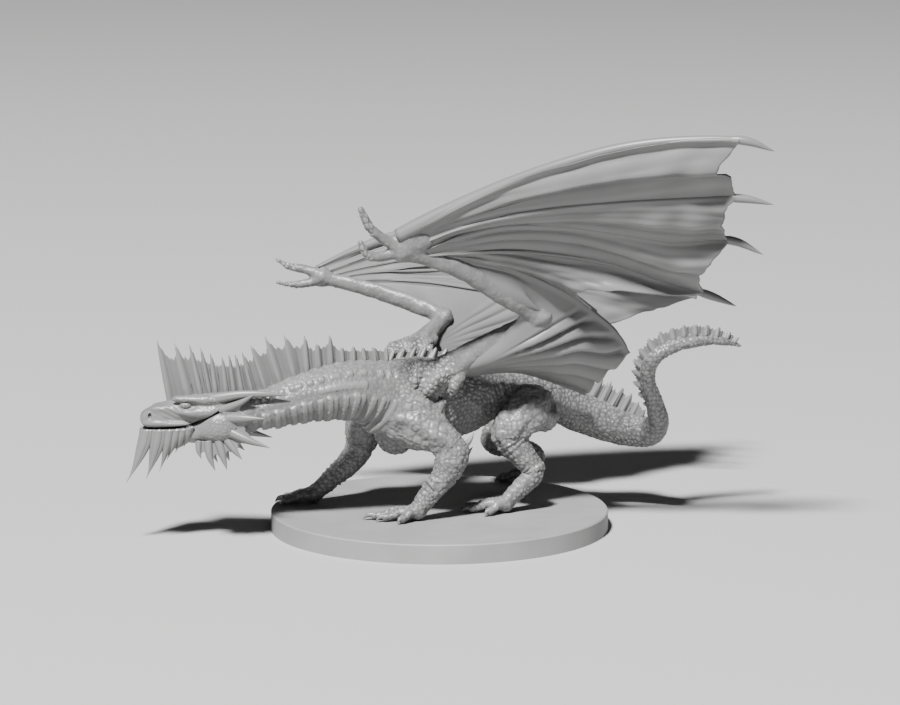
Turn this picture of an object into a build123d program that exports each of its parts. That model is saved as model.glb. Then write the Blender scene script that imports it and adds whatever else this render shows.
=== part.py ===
from build123d import *
import os

os.makedirs("parts", exist_ok=True)

# A winged dragon on a round base, moulded as a kit. The origin is the centre of the base's underside,
# +Z is up, the head points to -X and the dragon's left side faces -Y. All lengths are in mm.

# the base
BASE_R = 37.5
BASE_H = 4.3
BASE_EDGE = 0.25

# fits between pieces
GLUE = 0.05             # gap left for cement between pieces that are glued
SLIP = 0.15             # clearance round the two wing pegs, which push in and pull out
CLEAR = 0.3             # gap between a wing and the rest of the figure
WALL = 1.8              # wall of the hollow torso

# pegs
FOOT_PEG_R = 0.8
FOOT_PEG_L = 2.2
LIMB_PEG_R = 1.2
TAIL_PEG_L = 3.0
NECK_PEG_R = 1.6
NECK_PEG_L = 3.3        # how far the neck's peg goes into the skull
POST_R = 1.8            # posts inside the torso that line its halves up
PIN_R = 0.8
WING_PEG = (2.2, 3.4, 6.8)      # a keyed peg: width, depth and how far it goes in from the shoulder's centre
WING_PEG_ROOT = 2.6             # how far the peg also reaches out from there into the arm

FORWARD = Vector(-0.87, -0.5, 0).normalized()       # the way the torso heads
SIDE = Vector(-0.5, 0.87, 0).normalized()           # towards the dragon's right

# torso stations: centre, half-width, half-height
TORSO = [
    ((-13.5, -7.2, 31.6), 7.0, 7.4),
    ((-6.5, -3.0, 28.9), 8.4, 9.6),
    ((0.2, 1.0, 28.6), 8.4, 9.2),
    ((6.5, 4.6, 28.9), 7.6, 7.9),
    ((13.0, 8.3, 30.4), 6.0, 4.6),
    ((19.5, 12.0, 29.2), 6.0, 4.8),
    ((27.0, 16.0, 25.6), 5.4, 5.2),
]
FRONT_CUT = Vector(-12.0, -6.4, 31.0)       # where the neck meets the torso
REAR_CUT = Vector(25.0, 15.0, 26.4)         # where the tail meets the torso
TORSO_MIDDLE = Vector(0.2, 1.0, 28.6)

# the neck, from the skull to the shoulders, and its radii
NECK = [(-44.0, -16.6, 28.9), (-40.0, -16.4, 28.9), (-35.8, -15.8, 29.9), (-30.4, -14.6, 31.6),
        (-25.0, -12.9, 32.7), (-19.8, -10.6, 33.1), (-14.4, -7.8, 32.2), (-11.0, -6.0, 31.0)]
NECK_R = [4.4, 4.7, 5.2, 5.7, 6.2, 6.6, 7.0, 7.2]
SKULL_BACK = -42.5

# head stations along X at Y = HEAD_Y: x, centre height, half-width, half-height
HEAD_Y = -16.8
HEAD = [
    (-64.6, 28.0, 1.5, 1.7),
    (-63.2, 28.2, 2.4, 3.0),
    (-59.5, 28.7, 3.1, 3.8),
    (-54.5, 28.2, 3.8, 5.0),
    (-49.5, 28.0, 4.4, 5.7),
    (-45.5, 28.2, 4.5, 5.4),
    (SKULL_BACK, 28.6, 4.3, 4.7),
]
# the lower jaw's outline from the side: x, z
JAW = [(-67, 25.8), (-58.4, 25.9), (-53.6, 26.7), (-50.2, 28.0), (-47.8, 29.4), (-46.2, 29.4),
       (-46.2, 20), (-67, 20)]

# the tail in two pieces, with its radii
TAIL_BASE = [(22.0, 13.4, 27.6), (30.4, 17.0, 23.4), (36.5, 18.8, 20.6), (42.5, 18.8, 18.6),
             (47.5, 16.4, 18.4)]
TAIL_BASE_R = [5.2, 4.7, 4.5, 4.2, 3.6]
TAIL_TIP = [(47.5, 16.4, 18.4), (48.8, 12.6, 21.4), (48.8, 9.4, 26.6), (46.4, 7.0, 31.6),
            (47.2, 5.6, 36.6), (52.2, 6.0, 40.2), (59.6, 8.0, 41.2), (67.6, 10.0, 39.2)]
TAIL_TIP_R = [3.6, 2.9, 2.2, 1.9, 1.8, 1.7, 1.2, 0.5]
TAIL_CUT = Vector(47.0, 16.7, 18.4)

# legs: the joints from shoulder or hip to ankle with their radii, then the toe tips and the heel, and how
# far the peg at the top reaches out into the leg and in towards the torso
LEGS = {
    "foreleg_left": {
        "joints": [(-7.0, -8.4, 28.4), (-1.0, -11.2, 23.6), (4.2, -11.4, 18.6), (0.6, -12.0, 13.4),
                   (-4.0, -12.6, 8.6)],
        "radii": [4.9, 4.0, 3.1, 2.7, 2.0],
        "toes": [(-16.9, -12.4), (-13.9, -14.8), (-9.1, -17.6)],
        "heel": (-4.6, -12.4), "side": -1, "peg": (4.2, 2.6),
    },
    "foreleg_right": {
        "joints": [(-12.4, 2.4, 28.0), (-17.0, 6.2, 22.4), (-17.8, 7.6, 16.6), (-22.2, 6.8, 11.8),
                   (-26.8, 6.0, 8.0)],
        "radii": [4.8, 3.9, 3.0, 2.5, 1.9],
        "toes": [(-35.6, 2.6), (-36.4, 5.8), (-35.4, 9.0), (-29.0, 11.4)],
        "heel": (-28.0, 5.6), "side": 1, "peg": (4.2, 2.6),
    },
    "hindleg_left": {
        "joints": [(21.8, 5.4, 26.4), (19.2, 1.4, 25.4), (15.4, -1.6, 21.2), (19.6, -1.8, 16.6),
                   (21.0, -2.2, 12.8), (16.6, -3.8, 8.4)],
        "radii": [4.4, 4.6, 3.5, 3.0, 2.4, 1.8],
        "toes": [(4.8, -1.8), (4.8, -5.4), (10.0, -9.4)],
        "heel": (14.8, -4.4), "side": -1, "peg": (1.0, 4.6),
    },
    "hindleg_right": {
        "joints": [(21.0, 20.4, 26.0), (18.4, 22.8, 20.8), (12.4, 25.0, 15.2), (17.6, 27.4, 12.8),
                   (21.8, 28.6, 10.8), (20.8, 29.0, 7.4)],
        "radii": [4.6, 4.2, 3.2, 2.7, 2.2, 1.8],
        "toes": [(12.6, 27.6), (13.4, 31.0), (17.2, 32.8)],
        "heel": (20.0, 29.2), "side": 1, "peg": (1.0, 4.6),
    },
}
TOE_R = 1.15
FOOT_H = 2.6

# wings: arm from the shoulder to the wrist, two thumb claws, five fingers from the wrist, and the line
# where the sail meets the flank. The second thumb claw is the shorter.
WINGS = {
    "wing_left": {
        "arm": [(-2.4, -7.0, 34.0), (4.5, -8.0, 38.8), (13.5, -10.6, 44.4), (22.5, -13.0, 49.6)],
        "arm_r": [4.0, 3.2, 2.6, 2.4],
        "forearm": [(22.5, -13.0, 49.6), (14.4, -17.0, 54.8), (6.0, -21.0, 60.6), (-1.4, -24.0, 64.0),
                    (-8.0, -25.8, 65.8)],
        "forearm_r": [2.4, 2.6, 2.3, 1.9, 1.7],
        "thumbs": [[(-8.0, -26.0, 66.4), (-12.0, -27.4, 68.8), (-14.8, -28.4, 71.6), (-16.6, -29.0, 75.4)],
                   [(-8.0, -25.8, 66.0), (-12.0, -27.0, 65.0), (-15.0, -28.0, 65.4), (-16.6, -28.6, 68.0)]],
        "fingers": [
            [(-8.8, -26.8, 69.4), (2.0, -28.5, 75.2), (14.0, -31.0, 81.0), (26.0, -34.0, 85.8),
             (38.0, -36.2, 89.4), (50.0, -38.0, 91.2), (63.0, -39.0, 91.4), (70.5, -39.0, 89.0)],
            [(-5.6, -26.0, 67.2), (3.0, -26.6, 70.6), (14.0, -28.0, 73.6), (26.0, -30.0, 75.8),
             (38.0, -31.4, 77.0), (50.0, -32.0, 77.8), (63.0, -32.0, 78.2), (71.0, -32.0, 76.8)],
            [(-4.6, -25.5, 66.2), (3.5, -25.2, 68.8), (14.0, -25.0, 71.2), (26.0, -25.0, 71.2),
             (38.0, -25.0, 69.6), (50.0, -25.0, 67.8), (62.0, -25.0, 68.2), (69.5, -25.0, 65.0)],
            [(-3.8, -25.0, 65.2), (4.0, -23.4, 65.4), (14.0, -21.2, 65.4), (26.0, -20.0, 64.2),
             (37.0, -18.6, 62.0), (47.0, -17.0, 58.4), (57.5, -16.0, 55.2), (64.5, -16.0, 52.4)],
            [(-3.4, -24.4, 64.2), (3.0, -22.0, 63.6), (12.0, -18.6, 61.6), (20.5, -15.4, 58.6),
             (28.0, -12.4, 54.6), (34.0, -9.6, 50.0), (38.6, -7.2, 45.4), (41.6, -5.4, 40.6)],
        ],
        "flank": [(2.6, -6.8, 35.6), (17.5, 2.6, 34.6), (32.6, 9.8, 28.4)],
        "sag": Vector(0.10, -0.90, -0.25), "side": -1,
        "scallop": (0.06, 0.03, 0.045, 0.30),   # how far each bay's edge draws in, as a share of its length
    },
    "wing_right": {
        "arm": [(-7.6, 4.4, 36.4), (-5.6, 8.0, 38.8), (-2.4, 12.4, 41.6), (1.0, 17.0, 44.6)],
        "arm_r": [3.9, 3.2, 2.7, 2.4],
        "forearm": [(1.0, 17.0, 44.6), (-6.4, 19.2, 47.4), (-14.0, 21.0, 49.8), (-21.0, 22.0, 51.6),
                    (-26.6, 22.6, 52.6)],
        "forearm_r": [2.3, 2.1, 1.9, 1.7, 1.6],
        "thumbs": [[(-26.6, 22.6, 53.0), (-30.6, 23.0, 54.6), (-34.0, 23.2, 55.2), (-36.8, 23.2, 56.8)],
                   [(-26.6, 22.6, 52.4), (-29.8, 22.4, 51.6), (-33.0, 22.4, 51.2), (-36.8, 22.6, 51.6)]],
        "fingers": [
            [(-26.8, 23.2, 54.4), (-15.0, 28.4, 60.0), (-3.0, 32.4, 63.0), (10.0, 36.0, 65.6),
             (23.5, 39.0, 67.4), (37.0, 41.6, 68.6), (51.0, 44.0, 69.0), (58.6, 45.0, 67.4)],
            [(-24.8, 23.2, 53.9), (-13.5, 27.2, 57.4), (-1.0, 30.8, 59.8), (12.0, 34.0, 61.4),
             (25.0, 36.8, 62.2), (38.5, 39.0, 62.4), (52.0, 40.8, 61.8), (60.0, 41.4, 60.0)],
            [(-24.0, 23.0, 53.1), (-13.0, 26.0, 55.2), (-1.0, 29.0, 56.8), (11.5, 31.6, 57.4),
             (25.0, 34.0, 57.2), (38.5, 35.8, 56.4), (52.0, 37.4, 54.8), (60.0, 38.0, 52.6)],
            [(-23.6, 22.8, 52.3), (-12.5, 24.8, 53.6), (-1.0, 27.0, 54.2), (11.5, 29.2, 53.8),
             (25.0, 31.2, 52.6), (38.5, 33.0, 50.6), (52.0, 34.4, 48.4), (59.0, 34.8, 46.6)],
            [(-23.8, 22.5, 51.5), (-14.5, 22.9, 51.8), (-4.5, 23.6, 51.4), (5.0, 24.4, 50.2),
             (14.0, 25.2, 48.2), (22.5, 26.0, 45.6), (30.0, 26.6, 42.6), (35.0, 27.0, 39.6)],
        ],
        "flank": [(-4.4, 9.4, 37.4), (10.5, 18.0, 36.0), (26.0, 24.0, 33.4)],
        "sag": Vector(-0.15, 0.85, -0.25), "side": 1,
        "scallop": (0.02, 0.025, 0.035, 0.02),
    },
}
SAIL_T = 0.8            # thickness of the wing sails
RIB_T = 2.0             # thickness of a sail along its fingers
THUMB_R = [1.2, 1.0, 0.75, 0.3]
WRIST_SWELL = 0.2       # how much wider than the forearm's end the wrist is
CLAW_ROOT = 0.13        # a finger's claw starts this share of a step back inside the finger
CLAW_R = 1.15
SAIL_LAST = 6           # the sails stop at this point of each finger, before its claw
BAY_ROWS = [(0.12, 0.4), (0.3, 0.85), (0.5, 1.0), (0.7, 1.0), (0.88, 0.9)]
BAY_SAG = 1.4           # how far each bay of a sail bellies
INNER_SAG = 4.0         # the same for the bay between arm, flank and last finger
INNER_ROWS = [(0.06, 0.2), (0.2, 0.6), (0.4, 0.95), (0.6, 1.0), (0.8, 0.65), (1.0, 0.0)]
WING_RISE = 0.75        # how steeply a wing pulls out: rise for each mm out sideways

# crests: foot and tip of the fin along the spine, and the fin's thickness
CREST_T = 0.9
NECK_CREST = [
    ((-58.8, -16.8, 32.0), (-61.0, -16.8, 44.6)), ((-57.0, -16.8, 32.2), (-58.6, -16.8, 41.6)),
    ((-55.0, -16.8, 32.4), (-57.4, -16.8, 43.8)), ((-53.0, -16.8, 32.6), (-54.8, -16.8, 41.0)),
    ((-51.0, -16.8, 32.8), (-54.0, -16.8, 43.2)), ((-49.0, -16.8, 32.6), (-51.0, -16.8, 39.6)),
    ((-47.0, -16.8, 32.4), (-49.4, -16.8, 41.2)), ((-45.0, -16.7, 32.0), (-46.6, -16.7, 38.2)),
    ((-43.0, -16.6, 32.2), (-44.6, -16.7, 41.0)), ((-40.0, -16.4, 33.2), (-41.4, -16.5, 39.4)),
    ((-37.0, -16.0, 34.4), (-39.0, -16.2, 43.8)), ((-34.0, -15.5, 35.6), (-35.2, -15.7, 41.8)),
    ((-31.0, -14.8, 36.8), (-33.8, -15.4, 45.6)), ((-28.0, -13.9, 37.8), (-29.4, -14.4, 43.2)),
    ((-25.0, -12.9, 38.5), (-27.0, -13.6, 45.2)), ((-22.0, -11.7, 39.0), (-22.2, -11.8, 42.8)),
    ((-19.0, -10.3, 39.2), (-20.6, -11.0, 44.6)), ((-16.0, -8.7, 39.0), (-15.6, -8.5, 42.0)),
    ((-13.2, -7.0, 38.4), (-12.6, -6.8, 41.6)),
]
BACK_CREST = [
    ((-11.0, -5.8, 38.0), (-9.8, -5.2, 41.2)), ((-7.0, -3.4, 38.0), (-5.6, -2.6, 41.0)),
    ((-3.0, -1.0, 37.2), (-1.6, -0.2, 39.8)), ((1.0, 1.4, 36.8), (2.4, 2.2, 39.6)),
    ((5.0, 3.8, 36.0), (6.4, 4.6, 38.8)), ((9.0, 6.0, 35.2), (10.4, 6.8, 38.0)),
    ((13.0, 8.3, 34.4), (14.4, 9.1, 37.2)), ((17.0, 10.6, 33.4), (18.4, 11.4, 36.2)),
    ((21.0, 12.8, 32.2), (22.4, 13.6, 35.0)), ((24.2, 14.5, 31.0), (25.4, 15.2, 33.6)),
]
TAIL_CREST = [
    ((27.0, 15.6, 28.8), (28.4, 16.4, 32.0)), ((30.4, 17.0, 27.0), (32.0, 17.8, 30.6)),
    ((33.6, 18.0, 25.2), (35.6, 18.8, 29.4)), ((37.0, 18.8, 23.8), (39.0, 19.4, 28.2)),
    ((40.4, 19.0, 22.4), (42.2, 19.4, 26.8)), ((43.6, 18.4, 21.4), (44.8, 18.6, 25.2)),
]
TIP_CREST = [
    ((48.4, 9.0, 26.6), (45.6, 9.4, 27.2)), ((46.6, 7.6, 29.4), (43.4, 8.0, 30.4)),
    ((45.6, 6.6, 32.4), (42.4, 6.8, 34.0)), ((46.0, 5.8, 36.0), (43.6, 5.8, 38.0)),
    ((48.0, 5.6, 38.8), (46.2, 5.6, 41.6)), ((51.4, 5.8, 40.6), (50.6, 5.8, 44.0)),
    ((55.6, 6.8, 41.6), (55.6, 6.8, 44.8)), ((60.0, 8.0, 41.6), (60.6, 8.2, 44.4)),
    ((64.2, 9.2, 40.6), (65.2, 9.4, 42.6)),
]

# horns, cheek frills and beard: spike root, root radius and tip, for the dragon's left side
HORN = [(-47.4, 30.8, 1.3), (-43.4, 33.4, 1.2), (-38.2, 33.9, 0.9), (-32.6, 33.7, 0.35)]
HORN_OUT = 4.2
FRILL = [((-43.2, 30.4), (-38.2, 34.4)), ((-43.0, 28.6), (-37.0, 28.8)), ((-43.4, 26.4), (-36.0, 22.6)),
         ((-45.0, 23.6), (-44.0, 18.0)), ((-46.6, 23.4), (-47.0, 17.4)), ((-48.4, 23.6), (-50.2, 17.2))]
FRILL_R = 1.35
FRILL_OUT = {"left": 3.6, "right": 4.2}     # from the middle of the head; the neck leans to the right there
BEARD = [((-62.6, 0.6), (-68.4, 14.2), 0.8), ((-61.6, -0.8), (-64.2, 14.8), 0.9),
         ((-60.0, 0.8), (-62.0, 16.6), 0.9), ((-58.4, -0.6), (-60.4, 15.6), 1.0),
         ((-56.8, 0.6), (-58.6, 19.0), 0.9), ((-55.4, 0.0), (-56.4, 21.0), 0.8)]
BEARD_TOP = 25.2


def square_to(point, along):
    """A plane at point, facing along, with its X axis towards the dragon's right, or up if that is along."""
    along = along.normalized()
    across = SIDE - along * SIDE.dot(along)
    if across.length < 0.2:
        across = Vector(0, 0, 1)
    return Plane(origin=point, x_dir=across, z_dir=along)


def tube(points, radii, grow=0.0):
    """A smooth round limb through points."""
    points = [Vector(*p) for p in points]
    rings = []
    for i, point in enumerate(points):
        along = points[min(i + 1, len(points) - 1)] - points[max(i - 1, 0)]
        rings.append(square_to(point, along) * Circle(radii[i] + grow))
    return loft(rings)


def ball(point, radius):
    return Pos(*point) * Sphere(radius)


def rod(start, end, radius):
    """A straight cylinder from start to end."""
    start = Vector(*start)
    end = Vector(*end)
    length = (end - start).length
    plane = square_to(start, end - start)
    return plane * Cylinder(radius, length, align=(Align.CENTER, Align.CENTER, Align.MIN))


def spike(start, end, radius, tip=0.25):
    """A straight tapered spike, a little blunt at its tip."""
    start = Vector(*start)
    end = Vector(*end)
    plane = square_to(start, end - start)
    length = (end - start).length
    return plane * Cone(radius, tip, length, align=(Align.CENTER, Align.CENTER, Align.MIN))


def beyond(point, along):
    """Everything past a flat cut at point."""
    size = 200
    return square_to(point, along) * Box(size, size, size, align=(Align.CENTER, Align.CENTER, Align.MIN))


def sheet(rows, thickness):
    """A closed thin solid over a grid of points. A row's thickness is reached at its third point."""
    rows = [[Vector(*p) for p in row] for row in rows]
    m = len(rows)
    n = len(rows[0])
    top = []
    bottom = []
    for i in range(m):
        top.append([])
        bottom.append([])
        for j in range(n):
            down = rows[min(i + 1, m - 1)][j] - rows[max(i - 1, 0)][j]
            over = rows[i][min(j + 1, n - 1)] - rows[i][max(j - 1, 0)]
            thick = SAIL_T + (thickness[i] - SAIL_T) * min(j, 2) / 2
            offset = down.cross(over).normalized() * (thick / 2)
            top[i].append(rows[i][j] + offset)
            bottom[i].append(rows[i][j] - offset)
    faces = []
    for i in range(m - 1):
        for j in range(n - 1):
            faces += two_triangles(top[i][j], top[i + 1][j], top[i + 1][j + 1], top[i][j + 1])
            faces += two_triangles(bottom[i][j], bottom[i][j + 1], bottom[i + 1][j + 1], bottom[i + 1][j])
    border = [(0, j) for j in range(n)] + [(i, n - 1) for i in range(1, m)]
    border += [(m - 1, j) for j in range(n - 2, -1, -1)] + [(i, 0) for i in range(m - 2, 0, -1)]
    for k, (i, j) in enumerate(border):
        p, q = border[(k + 1) % len(border)]
        faces += two_triangles(top[i][j], top[p][q], bottom[p][q], bottom[i][j])
    return Solid(Shell(faces))


def two_triangles(a, b, c, d):
    return [Face(Wire.make_polygon([a, b, c], close=True)), Face(Wire.make_polygon([a, c, d], close=True))]


def torso_body(grow=0.0):
    rings = []
    for centre, half_width, half_height in TORSO:
        rings.append(square_to(Vector(*centre), FORWARD) * Ellipse(half_width + grow, half_height + grow))
    return loft(rings)


def torso_outside(grow=0.0):
    """The torso between its two flat end cuts."""
    body = torso_body(grow) - beyond(FRONT_CUT + FORWARD * grow, FORWARD)
    return body - beyond(REAR_CUT - FORWARD * grow, -FORWARD)


def wing_axis(wing):
    """The way a wing pulls out: sideways from the torso and upwards."""
    return (SIDE * wing["side"] + Vector(0, 0, WING_RISE)).normalized()


def wing_peg(wing, grow=0.0):
    width, depth, length = WING_PEG
    root = Vector(*wing["arm"][0]) + wing_axis(wing) * WING_PEG_ROOT
    plane = Plane(origin=root, x_dir=FORWARD, z_dir=-wing_axis(wing))
    from_root = (Align.CENTER, Align.CENTER, Align.MIN)
    peg = Box(width + 2 * grow, depth + 2 * grow, length + WING_PEG_ROOT + grow, align=from_root)
    return plane * peg


def limb_peg(leg, grow=0.0):
    """A peg through the top of a leg towards the torso's middle."""
    top = Vector(*leg["joints"][0])
    inward = SIDE * -leg["side"]
    reach_out, reach_in = leg["peg"]
    return rod(top - inward * reach_out, top + inward * (reach_in + grow), LIMB_PEG_R + grow)


def foot_peg(leg, grow=0.0):
    x, y = leg["heel"]
    return rod((x, y, BASE_H + 0.8), (x, y, BASE_H - FOOT_PEG_L - grow), FOOT_PEG_R + grow)


def posts():
    """Centres of the two posts that line up the torso's halves."""
    return [TORSO_MIDDLE + FORWARD * 5.5 - Vector(0, 0, 3.5), TORSO_MIDDLE - FORWARD * 12 + Vector(0, 0, 0.5)]


def build_base():
    base = Cylinder(BASE_R, BASE_H, align=(Align.CENTER, Align.CENTER, Align.MIN))
    base = chamfer(base.edges().group_by(Axis.Z)[-1], BASE_EDGE)
    for leg in LEGS.values():
        base -= foot_peg(leg, GLUE)
    return base


def build_torso():
    """The hollow torso as a left and a right half."""
    outside = torso_outside()
    hollow = torso_body(-WALL) - beyond(FRONT_CUT - FORWARD * WALL, FORWARD)
    hollow -= beyond(REAR_CUT + FORWARD * WALL, -FORWARD)
    body = outside - hollow
    for wing in WINGS.values():
        boss = wing_peg(wing, SLIP + 1.2) & outside
        body += boss
    for post in posts():
        body += rod(post - SIDE * 9, post + SIDE * 9, POST_R) & outside
    for wing in WINGS.values():
        body -= wing_peg(wing, SLIP)
    for leg in LEGS.values():
        body -= limb_peg(leg, GLUE)
    body -= rod(FRONT_CUT + FORWARD, FRONT_CUT - FORWARD * 4.05, NECK_PEG_R + GLUE)
    body -= rod(REAR_CUT - FORWARD, REAR_CUT + FORWARD * 4.05, NECK_PEG_R + GLUE)
    left = body - beyond(TORSO_MIDDLE - SIDE * (GLUE / 2), SIDE)
    right = body - beyond(TORSO_MIDDLE + SIDE * (GLUE / 2), -SIDE)
    for post in posts():
        left += rod(post - SIDE * 2, post + SIDE * 2, PIN_R)
        right -= rod(post - SIDE, post + SIDE * 2.3, PIN_R + GLUE)
    return left, right


def build_head():
    """The whole head, then the skull with its upper jaw, and the lower jaw."""
    rings = []
    for x, z, half_width, half_height in HEAD:
        plane = Plane(origin=(x, HEAD_Y, z), x_dir=(0, 1, 0), z_dir=(1, 0, 0))
        rings.append(plane * Ellipse(half_width, half_height))
    head = loft(rings)
    outline = Plane.XZ * make_face(Polyline(*JAW, close=True))
    wider = offset(outline, GLUE)
    jaw = head & extrude(outline, 60, both=True)
    skull = head - extrude(wider, 60, both=True)
    skull -= rod((SKULL_BACK + 1, HEAD_Y, 28.6), (SKULL_BACK - NECK_PEG_L - GLUE, HEAD_Y, 28.6),
                 NECK_PEG_R + GLUE)
    return head, skull, jaw


def build_neck():
    neck = tube(NECK, NECK_R)
    neck -= beyond(Vector(SKULL_BACK + GLUE, HEAD_Y, 28.6), Vector(-1, 0, 0))
    neck -= beyond(FRONT_CUT + FORWARD * GLUE, -FORWARD)
    neck += rod((SKULL_BACK + 3, HEAD_Y, 28.6), (SKULL_BACK - NECK_PEG_L, HEAD_Y, 28.6), NECK_PEG_R)
    neck += rod(FRONT_CUT + FORWARD * 3, FRONT_CUT - FORWARD * 4, NECK_PEG_R)
    return neck


def build_tail():
    heading = (Vector(*TAIL_TIP[1]) - Vector(*TAIL_BASE[3])).normalized()
    base = tube(TAIL_BASE, TAIL_BASE_R) - beyond(REAR_CUT - FORWARD * GLUE, FORWARD)
    base -= beyond(TAIL_CUT, heading)
    base += rod(REAR_CUT - FORWARD * 3, REAR_CUT + FORWARD * 4, NECK_PEG_R)
    base -= rod(TAIL_CUT + heading, TAIL_CUT - heading * (TAIL_PEG_L + GLUE), LIMB_PEG_R + GLUE)
    tip = tube(TAIL_TIP, TAIL_TIP_R) - beyond(TAIL_CUT + heading * GLUE, -heading)
    tip += rod(TAIL_CUT + heading * 2, TAIL_CUT - heading * TAIL_PEG_L, LIMB_PEG_R)
    return base, tip


def build_leg(leg, neighbours):
    joints = leg["joints"]
    radii = leg["radii"]
    body = ball(joints[0], radii[0])
    for i in range(len(joints) - 1):
        body += tube(joints[i:i + 2], radii[i:i + 2])
        body += ball(joints[i + 1], radii[i + 1])
    x, y = leg["heel"]
    pad = (x, y, BASE_H + FOOT_H - 0.8)
    body += tube([joints[-1], pad], [radii[-1], 1.9]) + ball(pad, 1.9)
    for toe_x, toe_y in leg["toes"]:
        knuckle = (x + (toe_x - x) * 0.45, y + (toe_y - y) * 0.45, BASE_H + 1.7)
        tip = (x + (toe_x - x) * 0.78, y + (toe_y - y) * 0.78, BASE_H + 0.9)
        body += tube([pad, knuckle], [1.5, TOE_R]) + ball(knuckle, TOE_R)
        body += tube([knuckle, tip], [TOE_R, 0.8]) + ball(tip, 0.8)
        body += spike(tip, (toe_x, toe_y, BASE_H + 0.35), 0.7)
    for neighbour in neighbours:
        body -= neighbour
    body += limb_peg(leg)
    floor = Pos(0, 0, BASE_H + GLUE) * Box(200, 200, 50, align=(Align.CENTER, Align.CENTER, Align.MAX))
    body -= floor
    return body + foot_peg(leg)


def between(a, b, share):
    return [Vector(*p) * (1 - share) + Vector(*q) * share for p, q in zip(a, b)]


def along(path, share):
    """The point a share of the way along a path, counted in its steps."""
    place = share * (len(path) - 1)
    k = min(int(place), len(path) - 2)
    return path[k] * (1 - (place - k)) + path[k + 1] * (place - k)


def outer_rows(wing, fingers):
    """Rows of points over the four bays between the five fingers, with each row's thickness."""
    rows = []
    for k in range(4):
        rows.append((fingers[k], RIB_T))
        for share, draw in BAY_ROWS:
            row = between(fingers[k], fingers[k + 1], share)
            row = [p + wing["sag"] * (BAY_SAG * draw * j / SAIL_LAST) for j, p in enumerate(row)]
            reach = 1 - draw * wing["scallop"][k]
            rows.append(([along(row, reach * j / SAIL_LAST) for j in range(SAIL_LAST + 1)], SAIL_T))
    return rows


def inner_rows(wing, fingers):
    """Rows from the last finger to the arm and the flank."""
    forearm = [Vector(*p) for p in wing["forearm"]]
    upper_arm = Vector(*wing["arm"][1]) * 0.5 + Vector(*wing["arm"][2]) * 0.5
    inner_edge = [forearm[3], forearm[1], forearm[0], upper_arm]
    inner_edge += [Vector(*wing["flank"][k]) for k in range(3)]
    bulge = [0.0, 0.4, 0.8, 1.0, 1.0, 0.7, 0.3]
    rows = [(fingers[4], RIB_T)]
    for share, draw in INNER_ROWS:
        row = between(fingers[4], inner_edge, share)
        rows.append(([p + wing["sag"] * (INNER_SAG * draw * b) for p, b in zip(row, bulge)], SAIL_T))
    return rows


def build_sail(wing):
    """The wing's sail: five ribbed fingers, their claws, and the skin between them and back to the flank."""
    fingers = [[Vector(*p) for p in finger[:SAIL_LAST + 1]] for finger in wing["fingers"]]
    rows = outer_rows(wing, fingers) + inner_rows(wing, fingers)
    sail = sheet([row for row, thickness in rows], [thickness for row, thickness in rows])
    for finger in wing["fingers"]:
        tip = Vector(*finger[-1])
        root = Vector(*finger[-2])
        sail += spike(root - (root - Vector(*finger[-3])) * CLAW_ROOT, tip, CLAW_R)
    return sail


def build_arm(wing, torso_far):
    """The arm of a wing with its peg. The sail's edge is let into it."""
    arm = tube(wing["arm"], wing["arm_r"]) + tube(wing["forearm"], wing["forearm_r"])
    arm += ball(wing["arm"][-1], wing["arm_r"][-1])
    arm += ball(wing["arm"][0], wing["arm_r"][0])
    arm += ball(wing["forearm"][-1], wing["forearm_r"][-1] + WRIST_SWELL)
    for thumb in wing["thumbs"]:
        arm += tube(thumb, THUMB_R)
    arm -= torso_far
    return arm + wing_peg(wing)


def build_spikes():
    """Horns, cheek frills and beard."""
    pieces = {}
    for name, side in (("left", -1), ("right", 1)):
        points = [(x, HEAD_Y + side * HORN_OUT * (0.75 + 0.1 * i), z) for i, (x, z, r) in enumerate(HORN)]
        pieces["horn_" + name] = tube(points, [r for x, z, r in HORN])
        frill = None
        for i, (root, tip) in enumerate(FRILL):
            out = FRILL_OUT[name] - 0.5 * max(i - 2, 0)
            start = (root[0], HEAD_Y + side * out, root[1])
            end = (tip[0], HEAD_Y + side * (out + 1.6), tip[1])
            part = spike(start, end, FRILL_R) + ball(start, FRILL_R)
            if i:
                before = FRILL[i - 1][0]
                part += rod((before[0], HEAD_Y + side * (FRILL_OUT[name] - 0.2), before[1]), start, 0.9)
            frill = part if frill is None else frill + part
        pieces["cheek_frill_" + name] = frill
    beard = rod((-62.4, HEAD_Y, BEARD_TOP), (-55.0, HEAD_Y, BEARD_TOP - 0.6), 1.3)
    for (x, out), (tip_x, tip_z), radius in BEARD:
        beard += spike((x, HEAD_Y + out, BEARD_TOP), (tip_x, HEAD_Y + out * 1.6, tip_z), radius + 0.3)
    pieces["chin_beard"] = beard
    return pieces


def fin(stations):
    feet = [Vector(*foot) for foot, tip in stations]
    tips = [Vector(*tip) for foot, tip in stations]
    low = [foot * 1.25 - tip * 0.25 for foot, tip in zip(feet, tips)]
    return sheet([low, feet, tips], [CREST_T] * 3)


def solid_of(shape):
    """The largest solid of a shape: crumbs cut off by a neighbour are left out."""
    return max(shape.solids(), key=lambda s: s.volume)


torso_grown = torso_outside(GLUE)
torso_far = torso_body(CLEAR)
pieces = {"base_disc": build_base()}
pieces["torso_left_shell"], pieces["torso_right_shell"] = build_torso()
head, pieces["head"], pieces["lower_jaw"] = build_head()
pieces["neck"] = build_neck()
pieces["tail_base"], pieces["tail_tip"] = build_tail()
neck_grown = tube(NECK, NECK_R, GLUE)
tail_grown = tube(TAIL_BASE, TAIL_BASE_R, GLUE)
for name, leg in LEGS.items():
    pieces[name] = build_leg(leg, [torso_grown, neck_grown if "fore" in name else tail_grown])
pieces["lower_jaw"] -= neck_grown

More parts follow.
